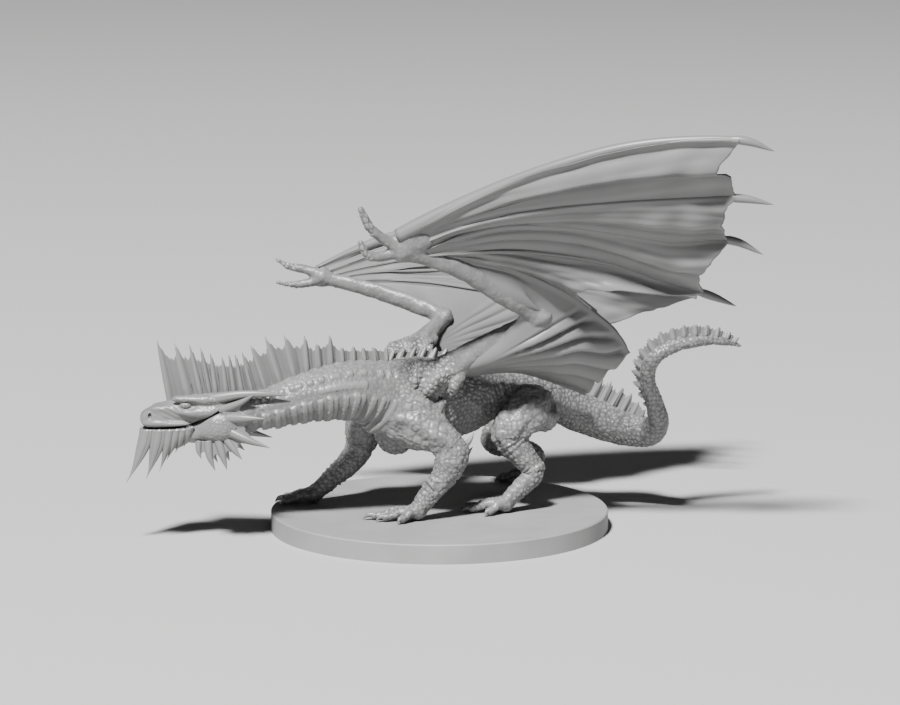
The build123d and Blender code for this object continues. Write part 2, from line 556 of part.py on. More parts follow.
for name, piece in build_spikes().items():
    pieces[name] = piece - head - neck_grown
for side in ("left", "right"):
    pieces["cheek_frill_" + side] -= pieces["horn_" + side]
pieces["neck_crest"] = fin(NECK_CREST) - head - neck_grown
pieces["back_crest"] = fin(BACK_CREST) - torso_body(GLUE)
pieces["tail_crest"] = fin(TAIL_CREST) - tail_grown
pieces["tail_tip_crest"] = fin(TIP_CREST) - tube(TAIL_TIP, TAIL_TIP_R, GLUE)

for name, wing in WINGS.items():
    pieces[name + "_sail"] = build_sail(wing)
    pieces[name + "_arm"] = build_arm(wing, torso_far)

for name, piece in pieces.items():
    solid = solid_of(piece)
    print(name, round(solid.volume, 1), len(piece.solids()), solid.is_valid)
    export_step(solid, f"parts/{name}.step")
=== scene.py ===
import math
import bpy
import bmesh
import numpy as np
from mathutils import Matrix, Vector


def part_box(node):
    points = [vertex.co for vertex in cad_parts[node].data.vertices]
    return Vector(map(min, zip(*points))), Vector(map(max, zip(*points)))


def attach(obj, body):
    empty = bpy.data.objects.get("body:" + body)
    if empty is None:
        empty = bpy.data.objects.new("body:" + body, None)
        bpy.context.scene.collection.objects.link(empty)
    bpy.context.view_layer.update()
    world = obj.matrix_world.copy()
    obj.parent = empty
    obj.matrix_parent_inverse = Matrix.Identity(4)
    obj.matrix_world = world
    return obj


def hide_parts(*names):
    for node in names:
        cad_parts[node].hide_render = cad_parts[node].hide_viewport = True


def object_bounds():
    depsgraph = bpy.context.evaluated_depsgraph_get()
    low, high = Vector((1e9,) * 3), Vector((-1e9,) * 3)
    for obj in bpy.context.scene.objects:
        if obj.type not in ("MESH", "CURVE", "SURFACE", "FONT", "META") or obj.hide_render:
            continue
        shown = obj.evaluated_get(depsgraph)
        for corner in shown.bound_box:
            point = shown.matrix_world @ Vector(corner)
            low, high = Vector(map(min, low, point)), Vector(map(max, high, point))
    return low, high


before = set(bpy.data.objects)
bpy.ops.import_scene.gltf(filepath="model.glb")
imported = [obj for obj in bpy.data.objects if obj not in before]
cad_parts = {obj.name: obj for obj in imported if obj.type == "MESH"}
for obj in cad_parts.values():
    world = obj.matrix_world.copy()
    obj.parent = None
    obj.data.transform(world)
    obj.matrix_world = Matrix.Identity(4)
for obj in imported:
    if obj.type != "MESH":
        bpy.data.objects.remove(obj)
cad_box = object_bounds()
# every new mesh is kept this far inside the CAD's box, in metres
BOX_MARGIN = 1e-6
BOX_LOW, BOX_HIGH = np.array(cad_box[0]) + BOX_MARGIN, np.array(cad_box[1]) - BOX_MARGIN

# All shapes below are worked out in millimetres in the frame's axes and turned into metres when a mesh is
# made. The base's top is at BASE_TOP; the head points to -X and the dragon's left side faces -Y.
MM = 0.001
BASE_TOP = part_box("base_disc")[1][2] / MM
VOXEL = 0.23          # grid of the body
HEAD_VOXEL = 0.13     # grid of the head
ARM_VOXEL = 0.21      # grid of the wing arms
# the torso's own directions
FORWARD = np.array([-0.867, -0.498, 0.0])
SIDE = np.array([-0.498, 0.867, 0.0])
TORSO_MIDDLE = np.array([0.2, 1.0, 0])   # on the seam between the torso's two shells

# ---------------------------------------------------------------- skeleton

# spine stations from skull to tail tip: centre, half-width, half-height
SPINE = [
    ((-45.0, -16.6, 29.6), 3.6, 3.7), ((-40.0, -16.4, 29.7), 4.0, 4.1), ((-35.8, -15.8, 30.5), 4.4, 4.6),
    ((-30.4, -14.6, 32.0), 4.9, 5.3), ((-25.0, -12.9, 33.0), 5.4, 5.9), ((-19.8, -10.6, 33.2), 6.1, 6.5),
    ((-14.4, -7.6, 32.0), 6.8, 7.2), ((-10.5, -5.4, 30.6), 7.4, 8.4), ((-6.0, -2.7, 29.0), 7.8, 9.4),
    ((0.2, 1.0, 28.7), 7.8, 9.1), ((6.5, 4.6, 29.0), 7.2, 7.7), ((13.0, 8.3, 30.8), 5.8, 4.2),
    ((19.5, 12.0, 30.0), 5.4, 3.9), ((25.5, 15.2, 26.8), 5.0, 4.7), ((30.4, 17.0, 23.5), 4.5, 4.6),
    ((36.5, 18.6, 20.7), 4.2, 4.3), ((42.5, 18.6, 18.7), 3.9, 3.9), ((47.2, 16.4, 18.5), 3.2, 3.3),
    ((49.0, 12.8, 21.2), 2.5, 2.6), ((48.2, 9.4, 26.4), 2.0, 2.1), ((46.4, 7.0, 31.6), 1.8, 1.8),
    ((47.2, 5.6, 36.6), 1.75, 1.75), ((52.2, 6.0, 40.0), 1.6, 1.6), ((59.6, 8.0, 40.9), 1.2, 1.2),
    ((64.4, 9.2, 40.3), 0.8, 0.8), ((67.2, 9.9, 39.3), 0.35, 0.35),
]
SKULL_BACK = -42.5
NECK_END = 7            # spine stations where the neck, the torso and the tail base end
TORSO_END = 13
TAIL_BASE_END = 17

# each leg's stations and radii from the hip or shoulder down, its muscles, and its claw tips on the base
LEGS = {
    "foreleg_left": {
        "joints": [(-6.6, -7.6, 28.6), (-2.0, -10.4, 24.2), (3.2, -11.4, 19.4), (1.4, -11.8, 14.6),
                   (-2.4, -12.4, 9.8), (-4.6, -12.6, 6.6)],
        "radii": [4.8, 4.2, 3.3, 2.9, 2.3, 2.0],
        "muscles": [((-8.0, -8.6, 26.4), 4.6), ((-4.4, -9.6, 23.0), 3.9), ((2.0, -11.8, 17.4), 3.1)],
        "toes": [(-16.9, -12.4), (-13.9, -14.8), (-9.1, -17.6)],
    },
    "foreleg_right": {
        "joints": [(-12.6, 1.8, 28.4), (-16.8, 5.6, 23.0), (-17.8, 7.4, 17.0), (-20.4, 7.0, 13.2),
                   (-24.8, 6.4, 9.2), (-27.8, 6.0, 6.6)],
        "radii": [4.7, 3.9, 3.2, 2.8, 2.2, 1.9],
        "muscles": [((-13.4, 3.4, 26.0), 4.3), ((-17.2, 6.2, 20.4), 3.4)],
        "toes": [(-35.6, 2.6), (-36.9, 5.8), (-35.4, 9.0), (-29.0, 11.2)],
    },
    "hindleg_left": {
        "joints": [(21.6, 4.6, 26.4), (18.6, 0.8, 25.4), (15.2, -2.0, 21.4), (18.2, -2.0, 17.0),
                   (20.9, -2.2, 12.9), (16.8, -3.6, 8.6), (14.8, -4.4, 6.4)],
        "radii": [4.4, 4.6, 3.5, 3.0, 2.4, 2.0, 1.8],
        "muscles": [((20.2, 0.4, 26.0), 4.5), ((23.6, 1.6, 24.4), 2.9), ((16.4, -1.6, 23.2), 4.1)],
        "toes": [(4.8, -1.8), (4.8, -5.4), (10.0, -9.4)],
    },
    "hindleg_right": {
        "joints": [(21.4, 19.6, 25.4), (18.6, 22.6, 20.8), (12.4, 25.0, 15.2), (17.4, 27.4, 12.8),
                   (21.8, 28.6, 10.8), (21.0, 29.0, 8.0), (20.0, 29.2, 6.4)],
        "radii": [4.4, 4.1, 3.2, 2.7, 2.2, 1.9, 1.7],
        "muscles": [((22.0, 21.0, 22.6), 3.6)],
        "toes": [(12.6, 27.6), (13.4, 31.0), (17.2, 32.8)],
    },
}

# Each wing's bones are stations with radii. "fingers" run from the wrist to the trailing edge, "flank" is
# where the sail meets the body, "sag" is the way its bays belly, and "strands" are the shoulder's muscles.
WINGS = {
    "left": {
        "arm": [(-2.4, -7.0, 34.0), (4.5, -8.0, 38.8), (13.5, -10.6, 44.4), (22.5, -13.0, 49.6)],
        "arm_r": [3.8, 3.1, 2.5, 1.9],
        "forearm": [(22.5, -13.0, 49.6), (14.4, -17.0, 54.8), (6.0, -21.0, 60.6), (-1.4, -24.0, 64.0),
                    (-8.0, -25.8, 65.8)],
        "forearm_r": [1.9, 2.3, 2.1, 1.9, 1.9],
        "thumbs": [[(-8.0, -26.0, 66.4), (-12.0, -27.4, 68.8), (-14.8, -28.4, 71.6), (-16.6, -29.0, 75.4)],
                   [(-8.0, -25.8, 66.0), (-12.0, -27.0, 65.0), (-15.0, -28.0, 65.4), (-16.6, -28.6, 68.0)]],
        "fingers": [
            [(-8.8, -26.8, 69.4), (2.0, -28.5, 75.2), (14.0, -31.0, 81.0), (26.0, -34.0, 85.8),
             (38.0, -36.2, 89.4), (50.0, -38.0, 91.2), (63.0, -39.0, 91.4), (70.5, -39.0, 89.0)],
            [(-5.6, -26.0, 67.2), (3.0, -26.6, 70.6), (14.0, -28.0, 73.6), (26.0, -30.0, 75.8),
             (38.0, -31.4, 77.0), (50.0, -32.0, 77.8), (63.0, -32.0, 78.2), (71.0, -32.0, 76.8)],
            [(-4.6, -25.5, 66.2), (3.5, -25.2, 68.8), (14.0, -25.0, 71.2), (26.0, -25.0, 71.2),
             (38.0, -25.0, 69.6), (50.0, -25.0, 67.8), (62.0, -25.0, 68.2), (69.5, -25.0, 65.0)],
            [(-3.8, -25.0, 65.2), (4.0, -23.4, 65.4), (14.0, -21.2, 65.4), (26.0, -20.0, 64.2),
             (37.0, -18.6, 62.0), (47.0, -17.0, 58.4), (57.5, -16.0, 55.2), (64.5, -16.0, 52.4)],
            [(-3.4, -24.4, 64.2), (3.0, -22.0, 63.6), (12.0, -18.6, 61.6), (20.5, -15.4, 58.6),
             (28.0, -12.4, 54.6), (34.0, -9.6, 50.0), (38.6, -7.2, 45.4), (41.6, -5.4, 40.6)],
        ],
        "flank": [(2.6, -6.8, 35.6), (17.5, 2.6, 34.6), (32.6, 9.8, 28.4)],
        "sag": (0.10, -0.90, -0.25), "side": -1,
        # how far each bay's edge draws in, at nine places from one finger to the next
        "draw": [(0, 0.015, 0.035, 0.060, 0.075, 0.020, 0.018, 0.012, 0),
                 (0, 0.03, 0.04, 0.035, 0.04, 0.03, 0.03, 0.02, 0),
                 (0, 0.02, 0.035, 0.05, 0.055, 0.06, 0.05, 0.03, 0),
                 (0, 0.15, 0.27, 0.34, 0.39, 0.42, 0.43, 0.40, 0.28)],
        "strands": [[(-4.2, -8.8, 37.2), (-5.6, -10.0, 35.0), (-6.6, -9.8, 32.4)],
                    [(2.4, -10.2, 37.4), (-0.8, -11.0, 34.8), (-3.2, -10.6, 31.6)],
                    [(5.0, -9.4, 36.6), (3.8, -10.0, 34.4), (2.6, -9.4, 32.2)]],
        "fold_from": (8.0, -8.0, 38.0), "fold_turn": 8.2, "fold": 0.62, "bulge": 5.8, "lift": 1.3,
        "thumb_r": (1.35, 1.1, 0.95, 0.62), "lead_r": (1.5, 1.6, 1.25, 0.95, 0.6),
        "pad": ((-5.6, -26.5, 68.6), (4.4, 1.3, 3.0)),
    },
    "right": {
        "arm": [(-7.6, 4.4, 36.4), (-5.6, 8.0, 38.8), (-2.4, 12.4, 41.6), (1.0, 17.0, 44.6)],
        "arm_r": [3.6, 2.7, 2.1, 1.6],
        "forearm": [(1.0, 17.0, 44.6), (-6.4, 19.2, 47.4), (-14.0, 21.0, 49.8), (-21.0, 22.0, 51.6),
                    (-26.6, 22.6, 52.6)],
        "forearm_r": [1.7, 1.9, 1.8, 1.6, 1.4],
        "thumbs": [[(-26.6, 22.6, 53.0), (-30.6, 23.0, 54.6), (-34.0, 23.2, 55.2), (-36.8, 23.2, 56.8)],
                   [(-26.6, 22.6, 52.4), (-29.8, 22.4, 51.6), (-33.0, 22.4, 51.2), (-36.8, 22.6, 51.6)]],
        "fingers": [
            [(-27.6, 23.2, 54.6), (-15.0, 28.4, 60.0), (-3.0, 32.4, 63.0), (10.0, 36.0, 65.6),
             (23.5, 39.0, 67.4), (37.0, 41.6, 68.6), (51.0, 44.0, 69.0), (58.6, 45.0, 67.4)],
            [(-24.8, 23.2, 53.9), (-13.5, 27.2, 57.4), (-1.0, 30.8, 59.8), (12.0, 34.0, 61.4),
             (25.0, 36.8, 62.2), (38.5, 39.0, 62.4), (52.0, 40.8, 61.8), (60.0, 41.4, 60.0)],
            [(-24.0, 23.0, 53.1), (-13.0, 26.0, 55.2), (-1.0, 29.0, 56.8), (11.5, 31.6, 57.4),
             (25.0, 34.0, 57.2), (38.5, 35.8, 56.4), (52.0, 37.4, 54.8), (60.0, 38.0, 52.6)],
            [(-23.6, 22.8, 52.3), (-12.5, 24.8, 53.6), (-1.0, 27.0, 54.2), (11.5, 29.2, 53.8),
             (25.0, 31.2, 52.6), (38.5, 33.0, 50.6), (52.0, 34.4, 48.4), (59.0, 34.8, 46.6)],
            [(-23.8, 22.5, 51.5), (-14.5, 22.9, 51.8), (-4.5, 23.6, 51.4), (5.0, 24.4, 50.2),
             (14.0, 25.2, 48.2), (22.5, 26.0, 45.6), (30.0, 26.6, 42.6), (35.0, 27.0, 39.6)],
        ],
        "flank": [(-4.4, 9.4, 37.4), (10.5, 18.0, 36.0), (26.0, 24.0, 33.4)],
        "sag": (-0.15, 0.85, -0.25), "side": 1,
        "draw": [(0, 0.01, 0.025, 0.035, 0.05, 0.018, 0.018, 0.01, 0),
                 (0, 0.02, 0.03, 0.03, 0.03, 0.03, 0.02, 0.02, 0),
                 (0, 0.02, 0.03, 0.04, 0.04, 0.04, 0.035, 0.02, 0),
                 (0, 0.015, 0.02, 0.02, 0.02, 0.02, 0.02, 0.01, 0)],
        "strands": [[(-5.0, 8.4, 41.0), (-8.0, 5.0, 40.0), (-10.4, 3.0, 37.6)],
                    [(-3.0, 9.4, 41.2), (-5.6, 4.8, 40.0), (-7.2, 2.2, 37.8)],
                    [(-1.2, 10.4, 40.8), (-3.2, 6.0, 39.6), (-4.4, 3.2, 37.4)]],
        "fold_from": (-4.0, 14.0, 38.0), "fold_turn": 7.0, "fold": 0.14, "bulge": 1.6, "lift": -0.5,
        "thumb_r": (1.25, 1.0, 0.75, 0.22), "lead_r": (0.9, 1.0, 0.9, 0.75, 0.5),
        "pad": ((-26.6, 22.9, 53.6), (1.8, 1.0, 1.8)),
    },
}
WING_RISE = 0.75        # how far a wing's peg climbs for each mm it goes out sideways
PEG = (2.2, 3.4, 6.8)   # a wing's peg: its two widths, and how far it goes in from the shoulder's centre
PEG_ROOT = 2.6          # how far the peg also reaches out into its arm
PEG_CLEAR = 0.2         # gap round the peg in the body

HEAD_Y = -16.8          # the head's middle plane

# ---------------------------------------------------------------- small maths

CORNERS = [(dx, dy, dz) for dx in (0, 1) for dy in (0, 1) for dz in (0, 1)]
FAR = 50.0              # stands for "not near anything", in mm


def norm(v):
    v = np.asarray(v, float)
    return v / max(np.linalg.norm(v), 1e-9)


def smooth(a, b, x):
    """0 below a, 1 above b and an S-curve between."""
    t = np.clip((x - a) / (b - a), 0, 1)
    return t * t * (3 - 2 * t)


def smin(a, b, k):
    """The smaller of two distances, blended over k mm."""
    h = np.maximum(k - np.abs(a - b), 0) / k
    return np.minimum(a, b) - h * h * k * 0.25


def smax(a, b, k):
    return -smin(-a, -b, k)


def through(points, count):
    """Catmull-Rom curve through rows of numbers, resampled to count rows."""
    p = np.asarray(points, float)
    if p.ndim == 1:
        p = p[:, None]
    n = len(p)
    u = np.linspace(0, n - 1, count)
    k = np.clip(u.astype(int), 0, n - 2)
    t = (u - k)[:, None]
    a = p[np.maximum(k - 1, 0)]
    b = p[k]
    c = p[k + 1]
    d = p[np.minimum(k + 2, n - 1)]
    a = np.where((k == 0)[:, None], 2 * b - c, a)
    d = np.where((k == n - 2)[:, None], 2 * c - b, d)
    square, cube = 2 * a - 5 * b + 4 * c - d, 3 * b - a - 3 * c + d
    return 0.5 * (2 * b + (c - a) * t + square * t ** 2 + cube * t ** 3)


def scramble(h):
    """Mixes the bits of whole numbers, so that neighbouring cells get unrelated values."""
    h = (h ^ (h >> 13)) * 1274126177
    return h ^ (h >> 16)


def noise3(p, size, seed=0):
    """Smooth value noise of points, from -1 to 1."""
    q = p / size + seed * 17.31
    i = np.floor(q).astype(np.int64)
    f = q - i
    f = f * f * (3 - 2 * f)
    total = 0
    for dx, dy, dz in CORNERS:
        h = (i[..., 0] + dx) * 374761393 + (i[..., 1] + dy) * 668265263 + (i[..., 2] + dz) * 2147483647
        v = (scramble(h) & 65535) / 32767.5 - 1
        w = (f[..., 0] if dx else 1 - f[..., 0]) * (f[..., 1] if dy else 1 - f[..., 1])
        total = total + v * w * (f[..., 2] if dz else 1 - f[..., 2])
    return total


def pebbles(p, size, jitter=0.8, seed=3):
    """Height of irregular rounded scales about size across: near 0 in the grooves and 1 on top."""
    q = p / size
    home = np.floor(q).astype(np.int64)
    best = np.full(len(q), 9.0, np.float32)
    second = np.full(len(q), 9.0, np.float32)
    for dx in (-1, 0, 1):
        for dy in (-1, 0, 1):
            for dz in (-1, 0, 1):
                c = home + (dx, dy, dz)
                h = (c[:, 0] * 73856093) ^ (c[:, 1] * 19349663) ^ (c[:, 2] * 83492791)
                h = scramble(h ^ (seed * 2654435))
                spot = np.stack([h & 1023, (h >> 10) & 1023, (h >> 20) & 1023], axis=1) / 1023.0 - 0.5
                d = np.linalg.norm(q - (c + 0.5 + spot * jitter), axis=1)
                second = np.minimum(second, np.maximum(best, d))
                best = np.minimum(best, d)
    return smooth(0.0, 0.42, second - best)


class Limb:
    """A smooth limb through stations, with elliptical sections."""

    def __init__(self, points, wide, tall=None, per=5, up=(0, 0, 1)):
        tall = wide if tall is None else tall
        count = (len(points) - 1) * per + 1
        self.p = through(points, count)
        self.w = through(wide, count)[:, 0]
        self.t = through(tall, count)[:, 0]
        self.per = per
        step = np.linalg.norm(np.diff(self.p, axis=0), axis=1)
        self.s = np.concatenate([[0], np.cumsum(step)])
        tangent = np.gradient(self.p, axis=0)
        tangent /= np.linalg.norm(tangent, axis=1)[:, None]
        top = np.zeros_like(tangent)
        last = np.array(up, float)
        for i, d in enumerate(tangent):
            last = norm(last - d * (last @ d))
            top[i] = last
        self.top = top
        self.across = np.cross(tangent, top)

    def near(self, q, reach=4.0, full=False):
        """Signed distance of points, and on request the place along and the angle round from its top."""
        n = len(q)
        dist = np.full(n, FAR, np.float32)
        place = np.zeros(n, np.float32)
        angle = np.zeros(n, np.float32)
        for k in range(len(self.p) - 1):
            a = self.p[k]
            b = self.p[k + 1]
            r = max(self.w[k], self.w[k + 1], self.t[k], self.t[k + 1]) + reach
            lo = np.minimum(a, b) - r
            hi = np.maximum(a, b) + r
            inside = np.nonzero(((q > lo) & (q < hi)).all(axis=1))[0]
            if not len(inside):
                continue
            d = q[inside] - a
            ab = b - a
            t = np.clip(d @ ab / (ab @ ab), 0, 1)
            off = d - t[:, None] * ab
            w = self.w[k] + (self.w[k + 1] - self.w[k]) * t
            h = self.t[k] + (self.t[k + 1] - self.t[k]) * t
            across = self.across[k] + (self.across[k + 1] - self.across[k]) * t[:, None]
            top = self.top[k] + (self.top[k + 1] - self.top[k]) * t[:, None]
            x = (off * across).sum(axis=1)
            y = (off * top).sum(axis=1)
            z2 = np.maximum((off * off).sum(axis=1) - x * x - y * y, 0)
            small = np.minimum(w, h)
            ratio = np.sqrt((x / w) ** 2 + (y / h) ** 2 + z2 / small ** 2)
            value = (ratio - 1) * small
            better = value < dist[inside]
            sel = inside[better]
            dist[sel] = value[better]
            if full:
                place[sel] = (self.s[k] + (self.s[k + 1] - self.s[k]) * t)[better]
                angle[sel] = np.arctan2(x, y)[better]
        return (dist, place, angle) if full else dist


def ball(q, centre, radius):
    return np.linalg.norm(q - np.asarray(centre), axis=1) - radius


def ellipsoid(q, centre, half):
    d = (q - np.asarray(centre)) / np.asarray(half)
    return (np.linalg.norm(d, axis=1) - 1) * min(half)


def boxed(q, centre, axes, half):
    d = np.abs((q - np.asarray(centre)) @ np.asarray(axes).T) - np.asarray(half)
    return np.linalg.norm(np.maximum(d, 0), axis=1) + np.minimum(d.max(axis=1), 0)


BLOCK = 4               # fine cells along each side of a coarse one


def blocks(grid):
    """Repeats each value of a coarse grid over its fine cells."""
    return np.repeat(np.repeat(np.repeat(grid, BLOCK, 0), BLOCK, 1), BLOCK, 2)


def carve(lo, hi, step, field, band=1.6):
    """Evaluates a field on a grid, finely only near its surface. Returns the grid and its low corner."""
    lo = np.asarray(lo, float)
    cells = np.ceil((np.asarray(hi) - lo) / (step * BLOCK)).astype(int)
    axes = [lo[i] + np.arange(cells[i] + 1) * step * BLOCK for i in range(3)]
    coarse = np.stack(np.meshgrid(*axes, indexing="ij"), axis=-1).reshape(-1, 3)
    rough = field(coarse).reshape(cells + 1)
    limit = step * BLOCK * band
    least = np.full(cells, FAR)
    for dx, dy, dz in CORNERS:
        part = rough[dx:cells[0] + dx, dy:cells[1] + dy, dz:cells[2] + dz]
        least = np.minimum(least, np.abs(part))
    fine = blocks(rough[:-1, :-1, :-1])
    fine = np.pad(fine, ((0, 1), (0, 1), (0, 1)), mode="edge").astype(np.float32)
    fine = np.where(fine < 0, -limit, limit).astype(np.float32)
    mask = np.zeros(fine.shape, bool)
    block = blocks(least < limit)
    for dx, dy, dz in CORNERS:
        mask[dx:block.shape[0] + dx, dy:block.shape[1] + dy, dz:block.shape[2] + dz] |= block
    where = np.nonzero(mask)
    points = np.stack(where, axis=1) * step + lo
    fine[where] = field(points)
    return fine, lo


def surface(grid, lo, step):
    """Surface net of a grid's zero level: vertices and quads."""
    inside = grid < 0
    mixed = np.zeros(tuple(n - 1 for n in grid.shape), np.uint8)
    a, b, c = mixed.shape
    for dx, dy, dz in CORNERS:
        mixed += inside[dx:a + dx, dy:b + dy, dz:c + dz]
    cells = np.argwhere((mixed > 0) & (mixed < 8))
    corner = np.array(CORNERS)
    value = np.stack([grid[tuple((cells + k).T)] for k in corner], axis=1)
    total = np.zeros((len(cells), 3))
    count = np.zeros(len(cells))
    for i in range(8):
        for j in range(i + 1, 8):
            if np.abs(corner[i] - corner[j]).sum() != 1:
                continue
            cross = (value[:, i] < 0) != (value[:, j] < 0)
            vi = value[cross, i]
            t = vi / (vi - value[cross, j])
            total[cross] += corner[i] + t[:, None] * (corner[j] - corner[i])
            count[cross] += 1
    verts = (cells + total / count[:, None]) * step + lo
    index = np.full(mixed.shape, -1, np.int32)
    index[tuple(cells.T)] = np.arange(len(cells))
    quads = []
    for axis in range(3):
        u, v = [(1, 2), (2, 0), (0, 1)][axis]
        first = [slice(None)] * 3
        second = [slice(None)] * 3
        first[axis] = slice(0, -1)
        second[axis] = slice(1, None)
        change = np.argwhere(inside[tuple(first)] != inside[tuple(second)])
        change = change[(change[:, u] > 0) & (change[:, v] > 0)]
        change = change[(change[:, u] < mixed.shape[u]) & (change[:, v] < mixed.shape[v])]
        out = inside[tuple(change.T)]
        du = np.zeros(3, int)
        dv = np.zeros(3, int)
        du[u] = 1
        dv[v] = 1
        ids = [index[tuple((change - s).T)] for s in (du + dv, dv, du * 0, du)]
        quad = np.stack(ids, axis=1)
        quad[~out] = quad[~out][:, ::-1]
        quads.append(quad)
    return verts, np.concatenate(quads)


def vertex_normals(verts, faces):
    p = verts[faces]
    n = np.cross(p[:, 2] - p[:, 0], p[:, 3] - p[:, 1])
    out = np.zeros_like(verts)
    for k in range(4):
        np.add.at(out, faces[:, k], n)
    return out / np.maximum(np.linalg.norm(out, axis=1), 1e-12)[:, None]


# ---------------------------------------------------------------- meshes


def make_mesh(name, verts, faces, relief=None, normals=None):
    """A mesh object from points in mm. relief is stored for the material, from 0 in grooves to 1 on top; the
    material paints shade in the grooves and highlight on the tops from it.
    """
    mesh = bpy.data.meshes.new(name)
    faces = np.asarray(faces)
    mesh.vertices.add(len(verts))
    inside = np.clip(np.asarray(verts, float) * MM, BOX_LOW, BOX_HIGH)
    mesh.vertices.foreach_set("co", inside.astype(np.float32).ravel())
    sides = faces.shape[1]
    mesh.loops.add(faces.size)
    mesh.loops.foreach_set("vertex_index", faces.astype(np.int32).ravel())
    mesh.polygons.add(len(faces))
    mesh.polygons.foreach_set("loop_start", np.arange(0, faces.size, sides, dtype=np.int32))
    mesh.update(calc_edges=True)
    mesh.validate()
    mesh.polygons.foreach_set("use_smooth", np.ones(len(mesh.polygons), bool))
    mark = mesh.attributes.new("relief", "FLOAT", "POINT")
    values = np.full(len(verts), 0.5, np.float32) if relief is None else np.asarray(relief, np.float32)
    if len(values) == len(mesh.vertices):
        mark.data.foreach_set("value", values)
    if normals is not None and len(mesh.vertices) == len(normals):
        mesh.normals_split_custom_set_from_vertices(normals.tolist())
    obj = bpy.data.objects.new(name, mesh)
    bpy.context.collection.objects.link(obj)
    return obj


class Parts:
    """Collects several small closed shapes into one mesh."""

    def __init__(self):
        self.verts = []
        self.faces = []
        self.relief = []
        self.count = 0

    def add(self, verts, faces, relief=None):
        verts = np.asarray(verts, float)
        self.verts.append(verts)
        self.faces.append(np.asarray(faces) + self.count)
        self.relief.append(np.full(len(verts), 0.5) if relief is None else relief)
        self.count += len(verts)

    def spike(self, points, radii, sides=14, count=26, flat=1.0, groove=0.0):
        """A tapered curved spike through points, closed at both ends."""
        p = through(points, count)
        r = np.maximum(through(radii, count)[:, 0], 0.02)
        d = np.gradient(p, axis=0)
        d /= np.linalg.norm(d, axis=1)[:, None]
        up = norm(np.cross(d[0], (0.31, -0.77, 0.55)))
        ring = []
        bumps = []
        a = np.arange(sides) * 2 * math.pi / sides
        for i in range(count):
            up = norm(up - d[i] * (up @ d[i]))
            side = np.cross(d[i], up)
            wave = 1 - groove * (0.5 + 0.5 * np.cos(a * 5))
            out = np.cos(a)[:, None] * up * flat + np.sin(a)[:, None] * side
            ring.append(p[i] + r[i] * out * wave[:, None])
            # relief of each ring: low in the horn's grooves and high on its ridges, for painted shade in the
            # grooves and painted highlight on the ridges
            bumps.append(0.35 + 0.3 * (wave - 1 + groove) / groove if groove else np.full(sides, 0.55))
        verts = np.concatenate(ring + [p[:1], p[-1:] + d[-1] * r[-1]])
        faces = []
        for i in range(count - 1):
            for j in range(sides):
                k = (j + 1) % sides
                faces.append((i * sides + j, i * sides + k, (i + 1) * sides + k, (i + 1) * sides + j))
        low = count * sides
        for j in range(sides):
            k = (j + 1) % sides
            faces.append((low, k, j, j))
            faces.append((low + 1, (count - 1) * sides + j, (count - 1) * sides + k, (count - 1) * sides + k))
        self.add(verts, faces, np.concatenate(bumps + [[0.5], [0.6]]))

    def cloth(self, grid, thick, relief=None):
        """A closed thin shell over a grid of points. thick is the full thickness at each point."""
        m, n = grid.shape[:2]
        du = np.gradient(grid, axis=0)
        dv = np.gradient(grid, axis=1)
        normal = np.cross(du, dv)
        normal /= np.maximum(np.linalg.norm(normal, axis=2), 1e-9)[..., None]
        half = np.asarray(thick)[..., None] / 2
        verts = np.concatenate([(grid + normal * half).reshape(-1, 3), (grid - normal * half).reshape(-1, 3)])
        index = np.arange(m * n).reshape(m, n)
        a, b, c, d = index[:-1, :-1], index[1:, :-1], index[1:, 1:], index[:-1, 1:]
        top = np.stack([a, b, c, d], axis=-1).reshape(-1, 4)
        low = top[:, ::-1] + m * n
        edge = np.concatenate([index[0, :], index[1:, -1], index[-1, -2::-1], index[-2:0:-1, 0]])
        after = np.roll(edge, -1)
        rim = np.stack([edge, after, after + m * n, edge + m * n], axis=1)
        values = np.full((m, n), 0.5) if relief is None else relief
        self.add(verts, np.concatenate([top, low, rim]), np.concatenate([values.ravel(), values.ravel()]))

    def object(self, name):
        faces = np.concatenate(self.faces)
        verts = np.concatenate(self.verts)
        relief = np.concatenate(self.relief)
        flat = faces[:, 3] == faces[:, 2]
        obj = make_mesh(name, verts, faces[~flat], relief)
        if flat.any():
            bm = bmesh.new()
            bm.from_mesh(obj.data)
            bm.verts.ensure_lookup_table()
            for f in faces[flat][:, :3]:
                try:
                    bm.faces.new([bm.verts[i] for i in f]).smooth = True
                except ValueError:
                    pass
            bm.to_mesh(obj.data)
            bm.free()
        return obj


# ---------------------------------------------------------------- materials


